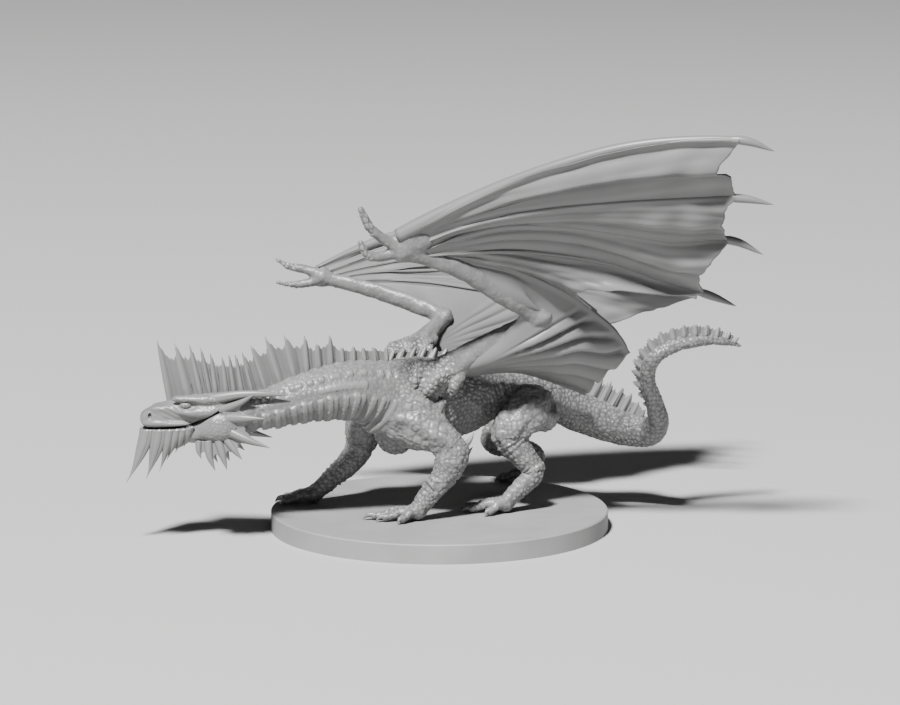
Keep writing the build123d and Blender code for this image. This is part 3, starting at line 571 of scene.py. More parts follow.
def grey_plastic(name, colour, rough, grain):
    """Satin primer over moulded plastic: fine grain, broad random tone, painted shade darkening the grooves
    and painted highlight lightening the raised tops.
    """
    mat = bpy.data.materials.new(name)
    mat.use_nodes = True
    nodes = mat.node_tree.nodes
    links = mat.node_tree.links
    bsdf = nodes["Principled BSDF"]
    bsdf.inputs["Metallic"].default_value = 0.0
    bsdf.inputs["Specular IOR Level"].default_value = 0.5
    place = nodes.new("ShaderNodeTexCoord")
    fine = nodes.new("ShaderNodeTexNoise")
    fine.inputs["Scale"].default_value = 4200
    fine.inputs["Detail"].default_value = 3
    broad = nodes.new("ShaderNodeTexNoise")
    broad.inputs["Scale"].default_value = 90
    broad.inputs["Detail"].default_value = 4
    links.new(place.outputs["Object"], fine.inputs["Vector"])
    links.new(place.outputs["Object"], broad.inputs["Vector"])
    # colour ramp over the relief attribute: painted shade, 0.55 of the grey in the grooves, and painted
    # highlight, 1.25 of it on the raised tops, with broad random tone mixed in
    relief = nodes.new("ShaderNodeAttribute")
    relief.attribute_name = "relief"
    mix = nodes.new("ShaderNodeMath")
    mix.operation = "MULTIPLY_ADD"
    mix.inputs[1].default_value = 0.30
    links.new(broad.outputs["Fac"], mix.inputs[0])
    links.new(relief.outputs["Fac"], mix.inputs[2])
    ramp = nodes.new("ShaderNodeValToRGB")
    ramp.color_ramp.elements[0].position = 0.12
    ramp.color_ramp.elements[0].color = [c * 0.55 for c in colour] + [1]
    ramp.color_ramp.elements[1].position = 1.0
    ramp.color_ramp.elements[1].color = [min(c * 1.25, 1) for c in colour] + [1]
    middle = ramp.color_ramp.elements.new(0.60)
    middle.color = list(colour) + [1]
    links.new(mix.outputs[0], ramp.inputs["Fac"])
    links.new(ramp.outputs["Color"], bsdf.inputs["Base Color"])
    gloss = nodes.new("ShaderNodeMapRange")
    gloss.inputs["To Min"].default_value = rough + 0.10
    gloss.inputs["To Max"].default_value = rough - 0.06
    links.new(mix.outputs[0], gloss.inputs["Value"])
    links.new(gloss.outputs["Result"], bsdf.inputs["Roughness"])
    bump = nodes.new("ShaderNodeBump")
    bump.inputs["Strength"].default_value = grain
    bump.inputs["Distance"].default_value = 0.00002
    links.new(fine.outputs["Fac"], bump.inputs["Height"])
    links.new(bump.outputs["Normal"], bsdf.inputs["Normal"])
    return mat


# figure and base are one primer; the base's lighter grey is painted light, for the base's top catching the key
# lamp
figure_grey = grey_plastic("figure_primer_grey", (0.150, 0.150, 0.149), 0.38, 0.35)
base_grey_painted_light = grey_plastic("base_primer_grey", (0.40, 0.40, 0.398), 0.52, 0.30)


def finish_piece(obj, body, nodes):
    """Paints a piece, parents it to the empty of the body it moves with, and hides the CAD nodes it stands in
    for.
    """
    obj.data.materials.clear()
    obj.data.materials.append(figure_grey)
    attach(obj, body)
    if nodes:
        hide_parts(*nodes)
    return obj


# ---------------------------------------------------------------- body field

spine = Limb(*zip(*SPINE))
leg_limbs = {name: Limb(leg["joints"], leg["radii"], up=(0.2, 0.5, 0.8)) for name, leg in LEGS.items()}


def foot_limbs(leg):
    """Toes as arched limbs from the ankle to just behind each claw, and the claws' own points."""
    ankle = np.array(leg["joints"][-1])
    limbs = []
    claws = []
    for x, y in leg["toes"]:
        flat = np.array([x, y, BASE_TOP]) - ankle
        flat[2] = 0
        length = np.linalg.norm(flat)
        flat /= length
        toe = [(ankle + flat * away) * (1, 1, 0) + (0, 0, BASE_TOP + height)
               for away, height in ((0.6, 1.8), (length * 0.42, 2.0), (length * 0.62, 1.2),
                                    (length * 0.78, 0.95), (length * 0.90, 1.15), (length, 0.22))]
        limbs.append(Limb(toe[:4], [1.5, 1.05, 0.85, 0.92], per=4, up=(0, 0, 1)))
        claws.append([toe[3] - flat * 0.3 + (0, 0, 0.25), toe[4], toe[5]])
    return limbs, claws


feet = {name: foot_limbs(leg) for name, leg in LEGS.items()}


def wing_axis(wing):
    """The way a wing's peg points, out of the body."""
    return norm(SIDE * wing["side"] + np.array([0, 0, WING_RISE]))


def peg_box(q, wing, grow):
    """Signed distance to a wing's peg, made larger all round by grow."""
    axis = wing_axis(wing)
    centre = np.array(wing["arm"][0]) - axis * (PEG[2] - PEG_ROOT) / 2
    half = (PEG[0] / 2 + grow, PEG[1] / 2 + grow, (PEG[2] + PEG_ROOT) / 2 + grow)
    return boxed(q, centre, [FORWARD, np.cross(axis, FORWARD), axis], half)


STRANDS = [   # muscle strands over the shoulders and chest: stations and radii
    ([(-8.4, -9.6, 34.0), (-9.4, -10.4, 31.2), (-10.0, -10.4, 28.6)], [0.9, 1.2, 0.8]),
    ([(-7.6, -10.8, 32.0), (-10.6, -11.2, 28.6), (-12.2, -10.2, 25.2)], [1.1, 1.5, 0.9]),
    ([(-5.6, -11.2, 30.6), (-8.2, -11.8, 27.2), (-9.6, -11.0, 23.6)], [1.1, 1.5, 0.9]),
    ([(-3.4, -11.0, 29.8), (-5.4, -12.2, 26.4), (-6.8, -12.4, 23.4)], [1.1, 1.4, 0.9]),
    ([(-9.4, -9.4, 34.6), (-12.6, -10.6, 32.0), (-14.4, -10.4, 28.6)], [0.9, 1.3, 0.8]),
    ([(0.6, -8.6, 29.8), (-0.8, -9.8, 27.8), (-2.2, -10.6, 25.4)], [0.9, 1.2, 0.8]),
    ([(-9.8, 4.8, 35.0), (-11.2, 5.6, 32.6), (-11.8, 5.8, 29.6)], [0.9, 1.2, 0.8]),
    ([(-5.0, 7.8, 33.0), (-6.6, 8.0, 30.4), (-7.6, 8.0, 27.8)], [0.9, 1.2, 0.8]),
]
strand_limbs = [Limb(*strand) for strand in STRANDS]


def spine_field(q):
    d = spine.near(q)
    d = smin(d, ellipsoid(q, (-14.9, -10.2, 26.6), (1.9, 1.8, 3.0)), 0.5)     # lobe under the neck
    d = smin(d, ellipsoid(q, (-11.6, -9.4, 26.0), (2.8, 2.4, 3.0)), 1.6)      # breast
    d = smin(d, ellipsoid(q, (-9.6, -4.6, 22.6), (4.6, 4.2, 5.2)), 1.6)       # keel of the chest
    d = smin(d, ellipsoid(q, (-4.0, -4.6, 34.6), (6.0, 3.6, 4.0)), 3.0)       # left shoulder blade
    d = smin(d, ellipsoid(q, (-8.4, 2.6, 35.0), (5.0, 3.6, 3.6)), 3.0)        # right shoulder blade
    near = np.nonzero((q[:, 0] > -20) & (q[:, 0] < 10) & (q[:, 2] > 19))[0]
    if len(near):
        part = d[near]
        for limb in strand_limbs:
            part = smin(part, limb.near(q[near], 3.0), 1.1)
        d[near] = part
    return d


def leg_field(q, name):
    """Signed distance to one leg with its muscles and toes."""
    leg = LEGS[name]
    d = leg_limbs[name].near(q)
    for centre, radius in leg["muscles"]:
        d = smin(d, ball(q, centre, radius), 1.2)
    toes = np.full(len(q), FAR)
    for toe in feet[name][0]:
        toes = smin(toes, toe.near(q, 2.0), 0.3)
    return smin(d, toes, 1.2)


def near_box(q, name, margin=6.0):
    """Which points are near enough to a leg to be worth measuring."""
    pts = np.array(list(LEGS[name]["joints"]) + [(x, y, BASE_TOP) for x, y in LEGS[name]["toes"]])
    return ((q > pts.min(axis=0) - margin) & (q < pts.max(axis=0) + margin)).all(axis=1)


def body_field(q):
    """The spine and legs in one skin, cut off at the base and round the wings' pegs."""
    d = spine_field(q)
    for name in LEGS:
        inside = np.nonzero(near_box(q, name))[0]
        if len(inside):
            d[inside] = smin(d[inside], leg_field(q[inside], name), 2.4)
    d = np.maximum(d, (BASE_TOP + 0.02) - q[:, 2])
    for wing in WINGS.values():
        d = np.maximum(d, -peg_box(q, wing, PEG_CLEAR))
    return d


def plates(place, pitch, edge=0.14):
    """Overlapping plates along a limb: a sharp front step, then falling away."""
    phase = place / pitch - np.floor(place / pitch)
    return smooth(0.0, edge, phase) * (1.0 - 0.8 * phase)


def spine_detail(q):
    """Height of the detail on neck, torso and tail in mm, how raised each point looks (the relief for painted
    shade in the grooves and painted highlight on the tops), and the distance.
    """
    d, place, angle = spine.near(q, 6.0, full=True)
    s_neck = spine.s[(NECK_END - 1) * spine.per]
    s_torso = spine.s[TORSO_END * spine.per]
    s_bend = spine.s[TAIL_BASE_END * spine.per]
    a = np.abs(angle)
    neck = 1 - smooth(s_neck - 2, s_neck + 8, place)
    tail = smooth(s_torso - 4, s_torso + 4, place)
    rise = smooth(s_bend - 3, s_bend + 3, place)
    small = pebbles(q, 1.05)
    tiny = pebbles(q, 0.62, seed=8)
    height = small * (0.22 - 0.15 * neck - 0.10 * rise) + tiny * (0.05 + 0.03 * neck + 0.03 * rise)
    # the second value paints shade in the grooves between scales and highlight on their tops
    relief_shade = small * (1 - 0.5 * neck) + 0.25 * neck
    # rows of studs along each side of the neck, the upper one coarser, painted lighter on the studs' tops and
    # darker between them
    for at, wide, pitch, tall in ((0.86, 0.125, 2.0, 0.52), (1.33, 0.13, 1.1, 0.30)):
        row = np.exp(-((a - at) / wide) ** 4)
        stud = smooth(-0.5, 0.7, np.cos(place * 2 * math.pi / pitch + at * 9))
        fade = (1 - smooth(s_neck - 1, s_neck + 6, place)) * smooth(3, 8, place)
        height += tall * row * stud * fade
        relief_shade = relief_shade * (1 - row * fade) + (0.3 + 0.7 * stud) * row * fade
    # belly plates, with painted highlight on each plate's front step fading to painted shade behind it
    front = 1 - smooth(s_neck + 1, s_neck + 8, place)
    under = smooth(1.60, 1.74, a + 0.05 * np.cos(place * 2 * math.pi / 2.9)) * front
    plate = plates(place, 2.9)
    height = height * (1 - 0.9 * under) + under * 0.80 * plate
    relief_shade = relief_shade * (1 - under) + under * (0.2 + 0.7 * plate)
    # rings of skin round the tail and folds on its flanks
    ring = np.cos(place * 2 * math.pi / 1.25)
    height += 0.05 * ring * rise
    fold = np.sin(place * 2 * math.pi / 2.9 + 1.6 * np.sin(angle * 2) + noise3(q, 5.0, 2) * 1.5)
    height += 0.03 * fold * np.exp(-((a - 1.5) / 0.6) ** 2) * tail * (1 - rise)
    # ribs showing faintly through the flank, and lumps of muscle
    flank = smooth(s_neck + 12, s_neck + 16, place) * (1 - tail) * np.exp(-((a - 1.5) / 0.5) ** 2)
    height += 0.12 * flank * np.sin(place * 2 * math.pi / 3.4)
    height += 0.16 * noise3(q, 2.6, 5) * (1 - 0.6 * neck)
    return height, relief_shade, d


def leg_detail(q, name):
    """The same for one leg."""
    limb = leg_limbs[name]
    d, place, angle = limb.near(q, 8.0, full=True)
    share = place / limb.s[-1]
    fore = name.startswith("fore")
    small = pebbles(q, 1.0, seed=5)
    large = pebbles(q, 1.9, seed=6)
    upper = 1 - smooth(0.30, 0.55, share)
    height = 0.17 * small * (1 - 0.5 * upper) + 0.16 * large * upper
    # the second value paints shade in the grooves between scales and highlight on their tops and on the front
    # plates' steps
    relief_shade = small * (1 - 0.5 * upper) + 0.5 * upper * large
    # studs and broad plates down the front of the shank and foot
    front = np.exp(-(angle / 0.60) ** 4) * smooth(0.55, 0.66, share)
    plate = plates(place, 1.45)
    height = height * (1 - front) + front * 0.40 * plate
    relief_shade = relief_shade * (1 - front) + front * (0.2 + 0.8 * plate)
    # folds of skin round the joints
    for at in ((0.44, 0.80) if fore else (0.40, 0.66)):
        near = np.exp(-((share - at) / 0.07) ** 2)
        height += 0.20 * near * np.sin(place * 2 * math.pi / 1.35 + noise3(q, 3.0, 4) * 2.0)
    # long strands of muscle on the upper limb
    height += 0.22 * upper * np.sin(angle * 6 + share * 9 + noise3(q, 4.0, 3) * 1.5)
    height += 0.12 * noise3(q, 1.6, 7)
    low = smooth(BASE_TOP + 0.3, BASE_TOP + 1.6, q[:, 2])
    toe = 1 - smooth(BASE_TOP + 2.2, BASE_TOP + 3.2, q[:, 2])
    away = np.hypot(q[:, 0] - limb.p[-1][0], q[:, 1] - limb.p[-1][1])
    band = plates(away, 1.15) * smooth(2.2, 3.4, away)
    height = height * low * (1 - 0.7 * toe) + 0.24 * band * toe * low
    return height, relief_shade, d


def body_detail(q):
    """Detail height over the whole body, blended where a leg meets the torso."""
    height, relief_shade, near = spine_detail(q)
    for name in LEGS:
        inside = np.nonzero(near_box(q, name))[0]
        if not len(inside):
            continue
        leg_d = leg_field(q[inside], name)
        own, own_relief_shade, _ = leg_detail(q[inside], name)
        share = smooth(-1.2, 1.2, near[inside] - leg_d)
        height[inside] = height[inside] * (1 - share) + own * share
        relief_shade[inside] = relief_shade[inside] * (1 - share) + own_relief_shade * share
    return height, relief_shade


def piece_of(q):
    """Which piece each point belongs to."""
    _, place, _ = spine.near(q, 9.0, full=True)
    cuts = [spine.s[k * spine.per] for k in (NECK_END, TORSO_END, TAIL_BASE_END)]
    owner = np.searchsorted(cuts, place)
    left = (q - TORSO_MIDDLE) @ SIDE < 0
    label = np.where(owner == 0, 0, np.where(owner == 1, np.where(left, 1, 2), owner + 1))
    out = ["neck", "torso_left_shell", "torso_right_shell", "tail_base", "tail_tip"] + list(LEGS)
    trunk = spine_field(q)
    for i, name in enumerate(LEGS):
        inside = np.nonzero(near_box(q, name))[0]
        if len(inside):
            own = leg_field(q[inside], name) < trunk[inside] - 0.1
            label[inside[own]] = 5 + i
    return label, out


SKIN_DEPTH = 0.14       # how far the skin is first drawn in, so that its detail stands out to size


def build_body():
    """Shapes the whole body as one skin, then parts it into its pieces."""
    lo = (-50, -25, BASE_TOP - 1)
    hi = (69.5, 36, 44)
    grid, low = carve(lo, hi, VOXEL, body_field)
    verts, faces = surface(grid, low, VOXEL)
    normals = vertex_normals(verts, faces)
    height, relief_shade = body_detail(verts)
    verts = verts + normals * (height - SKIN_DEPTH)[:, None]
    verts[:, 2] = np.maximum(verts[:, 2], BASE_TOP + 0.01)
    normals = vertex_normals(verts, faces)
    label, names = piece_of(verts)
    face_label = label[faces[:, 0]]
    for i, name in enumerate(names):
        used, inverse = np.unique(faces[face_label == i], return_inverse=True)
        obj = make_mesh("skin_" + name, verts[used], inverse.reshape(-1, 4), relief_shade[used], normals[used])
        finish_piece(obj, "figure", [name])


build_body()

# claws, one mesh for each foot
for name, (limbs, nails) in feet.items():
    parts = Parts()
    for nail in nails:
        parts.spike(nail, [0.72, 0.5, 0.06], count=16)
    if name.startswith("foreleg"):
        elbow = np.array(LEGS[name]["joints"][2])
        back = norm(-FORWARD + (0, 0, 0.55))
        out = SIDE * (-0.4 if "left" in name else 0.4)
        parts.spike([elbow + back * 1.8, elbow + back * 4.0 + out, elbow + back * 5.6 + out + (0, 0, 1.2)],
                    [0.9, 0.6, 0.06], count=16)
        parts.spike([elbow + back * 1.6 - (0, 0, 2), elbow + back * 3.8 - (0, 0, 2.6),
                     elbow + back * 5.4 - (0, 0, 2)], [0.8, 0.55, 0.06], count=16)
    finish_piece(parts.object("claws_" + name), "figure", [])

# ---------------------------------------------------------------- head

# skull and jaw stations: centre, half-width, half-height
HEAD = [
    ((-62.9, HEAD_Y, 28.0), 2.2, 2.1), ((-60.6, HEAD_Y, 28.6), 2.6, 2.6), ((-57.6, HEAD_Y, 29.3), 2.9, 2.9),
    ((-54.5, HEAD_Y, 29.9), 3.4, 3.1), ((-51.5, HEAD_Y, 30.2), 3.9, 3.2), ((-48.5, HEAD_Y, 30.0), 4.1, 3.6),
    ((-45.5, HEAD_Y, 29.7), 4.1, 4.0), ((-42.0, HEAD_Y + 0.1, 29.1), 4.2, 4.5),
]
JAW = [
    ((-63.4, HEAD_Y, 25.4), 1.6, 0.8), ((-60.0, HEAD_Y, 25.0), 2.4, 1.3), ((-56.5, HEAD_Y, 24.6), 2.7, 1.7),
    ((-53.0, HEAD_Y, 24.9), 3.2, 2.4), ((-49.8, HEAD_Y, 25.8), 3.9, 3.2), ((-46.8, HEAD_Y, 26.6), 4.2, 3.7),
    ((-44.4, HEAD_Y, 27.4), 3.8, 3.6),
]
skull_limb = Limb(*zip(*HEAD))
jaw_limb = Limb(*zip(*JAW))
# the line between the lips, in x and z
MOUTH = np.array([(-66.0, 26.1), (-64.4, 26.1), (-62.4, 26.2), (-58.0, 26.3), (-55.0, 26.6), (-52.6, 27.4),
                  (-50.6, 28.4), (-48.8, 29.5), (-47.2, 30.6)])
LIP_GAP = 0.04          # half of the gap between the lips


def mouth_height(x):
    return np.interp(x, MOUTH[:, 0], MOUTH[:, 1])


def skull_field(q):
    m = q.copy()
    m[:, 1] = HEAD_Y - np.abs(q[:, 1] - HEAD_Y)
    d = skull_limb.near(q)
    d = smin(d, ellipsoid(m, (-61.6, HEAD_Y - 1.5, 27.9), (2.9, 1.3, 1.9)), 1.0)       # muzzle
    d = smin(d, ellipsoid(m, (-54.6, HEAD_Y - 3.0, 32.7), (3.4, 1.0, 0.8)), 0.8)       # brow
    d = smin(d, ellipsoid(m, (-50.4, HEAD_Y - 3.6, 32.6), (3.2, 0.9, 0.9)), 0.9)
    d = smin(d, ellipsoid(m, (-58.4, HEAD_Y - 2.3, 30.5), (3.6, 0.6, 0.6)), 1.0)       # ridge to the nostril
    d = smin(d, ellipsoid(m, (-52.0, HEAD_Y - 3.7, 29.8), (3.8, 0.9, 0.9)), 1.0)       # cheek bone
    d = smax(d, -ellipsoid(m, (-54.9, HEAD_Y - 4.3, 31.4), (2.4, 1.4, 1.0)), 0.4)      # eye socket
    d = smin(d, ellipsoid(m, (-54.9, HEAD_Y - 3.0, 31.35), (1.25, 1.0, 0.82)), 0.08)   # eye
    d = smax(d, -ellipsoid(m, (-62.8, HEAD_Y - 2.6, 28.9), (0.42, 1.0, 0.70)), 0.3)    # nostril
    d = smin(d, ellipsoid(m, (-63.0, HEAD_Y - 2.3, 28.9), (0.75, 0.5, 1.0)) + 0.25, 0.5)
    d = smax(d, -ellipsoid(m, (-62.8, HEAD_Y - 2.8, 28.9), (0.36, 1.0, 0.60)), 0.12)
    d = smin(d, ellipsoid(m, (-58.5, HEAD_Y - 2.5, 27.1), (4.8, 0.8, 0.6)), 0.8)       # upper lip
    lip = mouth_height(q[:, 0]) + LIP_GAP
    return smax(d, np.where(q[:, 0] < -46.9, lip - q[:, 2], -5), 0.3)


def jaw_field(q):
    m = q.copy()
    m[:, 1] = HEAD_Y - np.abs(q[:, 1] - HEAD_Y)
    d = jaw_limb.near(q)
    d = smin(d, ellipsoid(m, (-47.6, HEAD_Y - 3.6, 26.6), (3.0, 1.3, 2.9)), 1.4)       # jaw muscle
    d = smin(d, ellipsoid(m, (-60.5, HEAD_Y - 1.9, 25.1), (3.4, 0.9, 0.7)), 0.8)
    lip = mouth_height(q[:, 0]) - LIP_GAP
    return smax(d, q[:, 2] - lip, 0.35)


def head_detail(q):
    side = np.abs(q[:, 1] - HEAD_Y)
    small = pebbles(q, 0.85, seed=21)
    rear = smooth(-57, -46, q[:, 0])
    lip_gap = np.abs(q[:, 2] - mouth_height(q[:, 0]))
    plain = smooth(0.4, 1.2, lip_gap)
    across, tall = (q[:, 0] + 54.9) / 1.5, (q[:, 2] - 31.4) / 1.0
    eye = np.exp(-(across ** 2 + tall ** 2))
    height = 0.08 * small * (0.2 + 0.8 * rear) * plain * (1 - eye)
    height += 0.10 * noise3(q, 1.5, 3) * plain * (1 - eye)
    lid = np.abs(np.hypot(across, tall * 1.05) - 1)
    height += 0.22 * np.exp(-(lid / 0.15) ** 2) * (side > 2.0)
    wrinkle = np.sin((q[:, 0] * 0.5 + q[:, 2]) * 2 * math.pi / 1.1) * np.exp(-((q[:, 0] + 58.5) / 2.4) ** 2)
    height += 0.05 * wrinkle * (q[:, 2] > 28)
    crease = np.exp(-(lip_gap / 0.32) ** 2) * (q[:, 0] < -46.6)
    slit = np.exp(-((q[:, 0] + 54.9) / 0.18) ** 2) * np.exp(-((q[:, 2] - 31.4) / 0.6) ** 2) * (side > 2.6)
    height -= 0.12 * slit
    # painted shade: darker in the mouth's crease, in the eye's slit and round the lid's edge, and in the
    # grooves between scales
    relief_shade = np.clip(0.5 + 0.3 * (small - 0.5) * rear - 0.45 * crease - 0.45 * slit - 0.3 * (lid < 0.12), 0, 1)
    return height, relief_shade


def build_head(name, field, lo, hi, node):
    grid, low = carve(lo, hi, HEAD_VOXEL, field, 2.2)
    verts, faces = surface(grid, low, HEAD_VOXEL)
    normals = vertex_normals(verts, faces)
    height, relief_shade = head_detail(verts)
    verts = verts + normals * height[:, None]
    finish_piece(make_mesh(name, verts, faces, relief_shade, vertex_normals(verts, faces)), "figure", [node])


build_head("skull_and_upper_jaw", skull_field, (-67, HEAD_Y - 6, 23), (-37.5, HEAD_Y + 6, 36), "head")
build_head("jaw_lower", jaw_field, (-66, HEAD_Y - 6.5, 21), (-40, HEAD_Y + 6.5, 31.5), "lower_jaw")

# horns, frills and beard
CHEEK_SPINES = [   # root, middle and tip in x and z, how far the tip stands out, and the root's radius
    ((-47.4, 30.2), (-43.2, 32.0), (-39.6, 34.4), 2.6, 1.15),
    ((-46.2, 28.4), (-42.0, 28.7), (-37.7, 28.9), 3.0, 1.45),
    ((-46.2, 25.8), (-41.6, 24.0), (-36.6, 22.5), 3.0, 1.40),
    ((-46.6, 24.2), (-44.4, 21.6), (-42.7, 19.8), 2.2, 1.05),
    ((-48.0, 23.6), (-46.9, 20.2), (-46.0, 17.5), 1.9, 1.20),
    ((-50.2, 23.4), (-49.8, 20.2), (-48.6, 17.2), 1.6, 1.20),
    ((-52.2, 23.4), (-52.2, 21.4), (-51.6, 19.8), 1.2, 0.90),
]
for name, side in (("left", -1), ("right", 1)):
    y = HEAD_Y + side * 2.6
    parts = Parts()
    parts.spike([(-50.8, y, 32.3), (-47.2, y + side * 0.7, 33.1), (-43.0, y + side * 1.2, 33.8),
                 (-38.0, y + side * 1.5, 34.0), (-32.6, y + side * 1.4, 33.7)],
                [1.3, 1.2, 1.0, 0.72, 0.07], count=44, groove=0.10)
    finish_piece(parts.object("horn_" + name), "figure", ["horn_" + name])
    parts = Parts()
    ribs = []
    for root, middle, tip, out, r in CHEEK_SPINES:
        ribs.append([(x, HEAD_Y + side * (3.0 + out * reach), z)
                     for (x, z), reach in ((root, 0), (middle, 0.55), (tip, 1))])
        parts.spike(ribs[-1], [r, r * 0.72, 0.07], count=26, flat=0.85)
    web_count = (len(ribs) - 1) * 10 + 1
    roots, middles, tips = (through(points, web_count) for points in zip(*ribs))
    turn_u = np.linspace(0, len(ribs) - 1, web_count)
    gap = np.abs(np.sin(turn_u * math.pi)) ** 0.7
    share = np.linspace(0, 1, 16)[None, :] * (0.80 - 0.36 * gap + 0.03 * np.sin(turn_u * 31))[:, None]
    w = share[..., None]
    web = roots[:, None] * (1 - w) ** 2 + middles[:, None] * 2 * w * (1 - w) + tips[:, None] * w ** 2
    web[..., 1] -= side * 0.35 * gap[:, None] * np.linspace(0, 1, 16)[None, :]
    parts.cloth(web, 0.75 - 0.4 * share)
    finish_piece(parts.object("cheek_frill_" + name), "figure", ["cheek_frill_" + name])

BEARD = [   # each lock's front and back edge along the lip, and its tip in x and z
    (-64.9, -62.1, -68.1, 13.9), (-62.3, -59.2, -63.8, 14.7), (-59.4, -57.6, -60.9, 16.4),
    (-57.8, -56.1, -59.3, 18.9), (-56.3, -54.8, -57.4, 20.6), (-55.0, -53.4, -55.5, 21.9),
]
JAW_SIDE = np.array([(-65.2, 0.5), (-64.4, 1.2), (-63.0, 1.9), (-60.5, 2.3), (-57.0, 2.6), (-53.0, 3.1)])
parts = Parts()
for side in (-1, 1):
    for front, back, tip_x, tip_z in BEARD:
        u = np.linspace(0, 1, 25)[:, None]
        v = np.linspace(0, 1, 44)[None, :]
        middle = (front + back) / 2
        narrow = (1 - smooth(0.22, 1.0, v)) ** 0.85 * (1 - 0.15 * v) + 0.02
        line_x = middle + (tip_x - middle) * v ** 1.5
        x = line_x + (u - 0.5) * (back - front) * narrow
        top_z = mouth_height(middle + (u - 0.5) * (back - front)) - 0.35
        z = top_z + (tip_z - top_z) * v + 0 * u
        out = np.interp(middle + (u - 0.5) * (back - front) + 0 * v, JAW_SIDE[:, 0], JAW_SIDE[:, 1])
        round_off = np.sqrt(np.maximum(1 - (2 * u - 1) ** 2, 0.0))
        out = out * (1 - 0.45 * v) + 0.35 * round_off * narrow
        flute = 0.09 * np.sin(u * 2 * math.pi * 2.5) * narrow
        grid = np.stack([x, HEAD_Y + side * (out + flute), z], axis=2)
        # relief rises to the middle of each lock, for painted shade along its edges and painted highlight
        # along its crown
        parts.cloth(grid, (0.25 + 1.25 * round_off) * narrow + 0.05, 0.35 + 0.4 * round_off + 0 * v)
parts.spike([(-63.4, HEAD_Y, 25.0), (-61.0, HEAD_Y, 23.6), (-57.5, HEAD_Y, 23.4), (-54.0, HEAD_Y, 24.0)],
            [0.9, 2.0, 2.2, 1.0], sides=24)
finish_piece(parts.object("chin_beard"), "figure", ["chin_beard"])

# ---------------------------------------------------------------- crests


def fin(name, node, spines, thick=0.75, web=0.72, seed=1, small=0.10):
    """A spined fin: a pleated web between thorn-like points. spines holds the root and tip of each point."""
    roots = np.array([p[0] for p in spines], float)
    tips = np.array([p[1] for p in spines], float)
    fine = 18
    count = (len(spines) - 1) * fine + 1
    u = np.linspace(0, len(spines) - 1, count)
    k = np.minimum(u.astype(int), len(spines) - 2)
    f = (u - k)[:, None]
    base = through(roots, count)
    top = tips[k] * (1 - f) + tips[k + 1] * f
    f = f[:, 0]
    rough = noise3(np.stack([u * 5.1, u * 0, u * 0], axis=1), 1.0, seed)
    teeth = np.abs(np.sin(u * math.pi * 3.0 + rough)) ** 3
    valley = smooth(0.0, 0.12, f) * smooth(0.0, 0.12, 1 - f)
    reach = web + (1 - web) * (np.clip(1 - f / 0.42, 0, 1) ** 1.6 + np.clip(1 - (1 - f) / 0.14, 0, 1) ** 1.3)
    reach += small * valley * (0.6 * teeth + 0.4 * rough)
    rows = np.linspace(-0.10, 1, 30)
    grid = base[:, None] + (top - base)[:, None] * (rows[None, :, None] * reach[:, None, None])
    out = np.cross(np.gradient(base, axis=0), top - base)
    out /= np.maximum(np.linalg.norm(out, axis=1), 1e-9)[:, None]
    pleat = 0.26 * np.cos(f * 2 * math.pi) + 0.10 * np.sin(u * 2 * math.pi * 2.6 + 3 * rough)
    pleat = pleat[:, None] * smooth(-0.1, 0.25, rows)[None, :] * (1 - 0.3 * rows[None, :])
    grid = grid + out[:, None] * pleat[..., None]
    rib = np.exp(-(np.minimum(f, 1 - f) / 0.16) ** 2)[:, None]
    thickness = thick * (1 - 0.70 * np.clip(rows, 0, 1))[None, :] * (0.70 + 0.75 * rib)
    parts = Parts()
    # relief is higher along the ribs, for painted highlight on them and painted shade across the web between
    parts.cloth(grid, thickness, 0.30 + 0.5 * rib * np.ones_like(rows)[None, :])
    for root, tip in zip(roots, tips):
        d = tip - root
        parts.spike([root - d * 0.08, root + d * 0.5, tip - d * 0.10, tip + d * 0.03],
                    [thick * 0.60, thick * 0.48, thick * 0.24, 0.04], sides=10, count=22)
    finish_piece(parts.object(name), "figure", [node])


NECK_SPINES = [
    ((-58.7, -16.8, 31.8), (-61.1, -16.8, 44.8)), ((-54.4, -16.8, 32.2), (-57.3, -16.8, 44.1)),
    ((-51.7, -16.8, 32.6), (-54.1, -16.8, 43.8)), ((-49.8, -16.8, 32.7), (-51.7, -16.8, 43.1)),
    ((-48.4, -16.8, 32.7), (-49.6, -16.8, 41.9)), ((-46.2, -16.8, 32.7), (-47.1, -16.8, 41.2)),
    ((-44.4, -16.8, 32.6), (-45.6, -16.8, 41.7)), ((-42.8, -16.7, 32.6), (-44.2, -16.8, 41.7)),
    ((-40.4, -16.5, 33.0), (-42.7, -16.6, 42.2)), ((-37.6, -16.1, 33.8), (-40.8, -16.4, 43.6)),
    ((-34.6, -15.6, 35.2), (-37.7, -16.0, 45.5)), ((-31.4, -14.9, 36.4), (-33.6, -15.3, 45.7)),
    ((-28.9, -14.2, 37.2), (-29.3, -14.4, 45.5)), ((-26.4, -13.4, 37.9), (-26.8, -13.5, 43.6)),
    ((-23.7, -12.3, 38.5), (-23.9, -12.3, 45.3)), ((-21.4, -11.4, 38.8), (-21.4, -11.3, 42.6)),
    ((-19.0, -10.2, 38.9), (-18.9, -10.1, 42.6)), ((-16.6, -8.9, 38.9), (-16.8, -8.9, 42.2)),
    ((-14.0, -7.4, 38.6), (-14.6, -7.6, 42.0)), ((-11.6, -6.1, 38.4), (-11.6, -6.0, 41.8)),
]
fin("crest_neck", "neck_crest", NECK_SPINES, thick=0.95, web=0.72)
BACK_HEIGHTS = (38.2, 38.3, 38.2, 38.0, 37.7, 37.3, 36.9, 36.5, 36.1, 35.6, 35.1, 34.6, 34.1, 33.4, 32.6, 31.6)
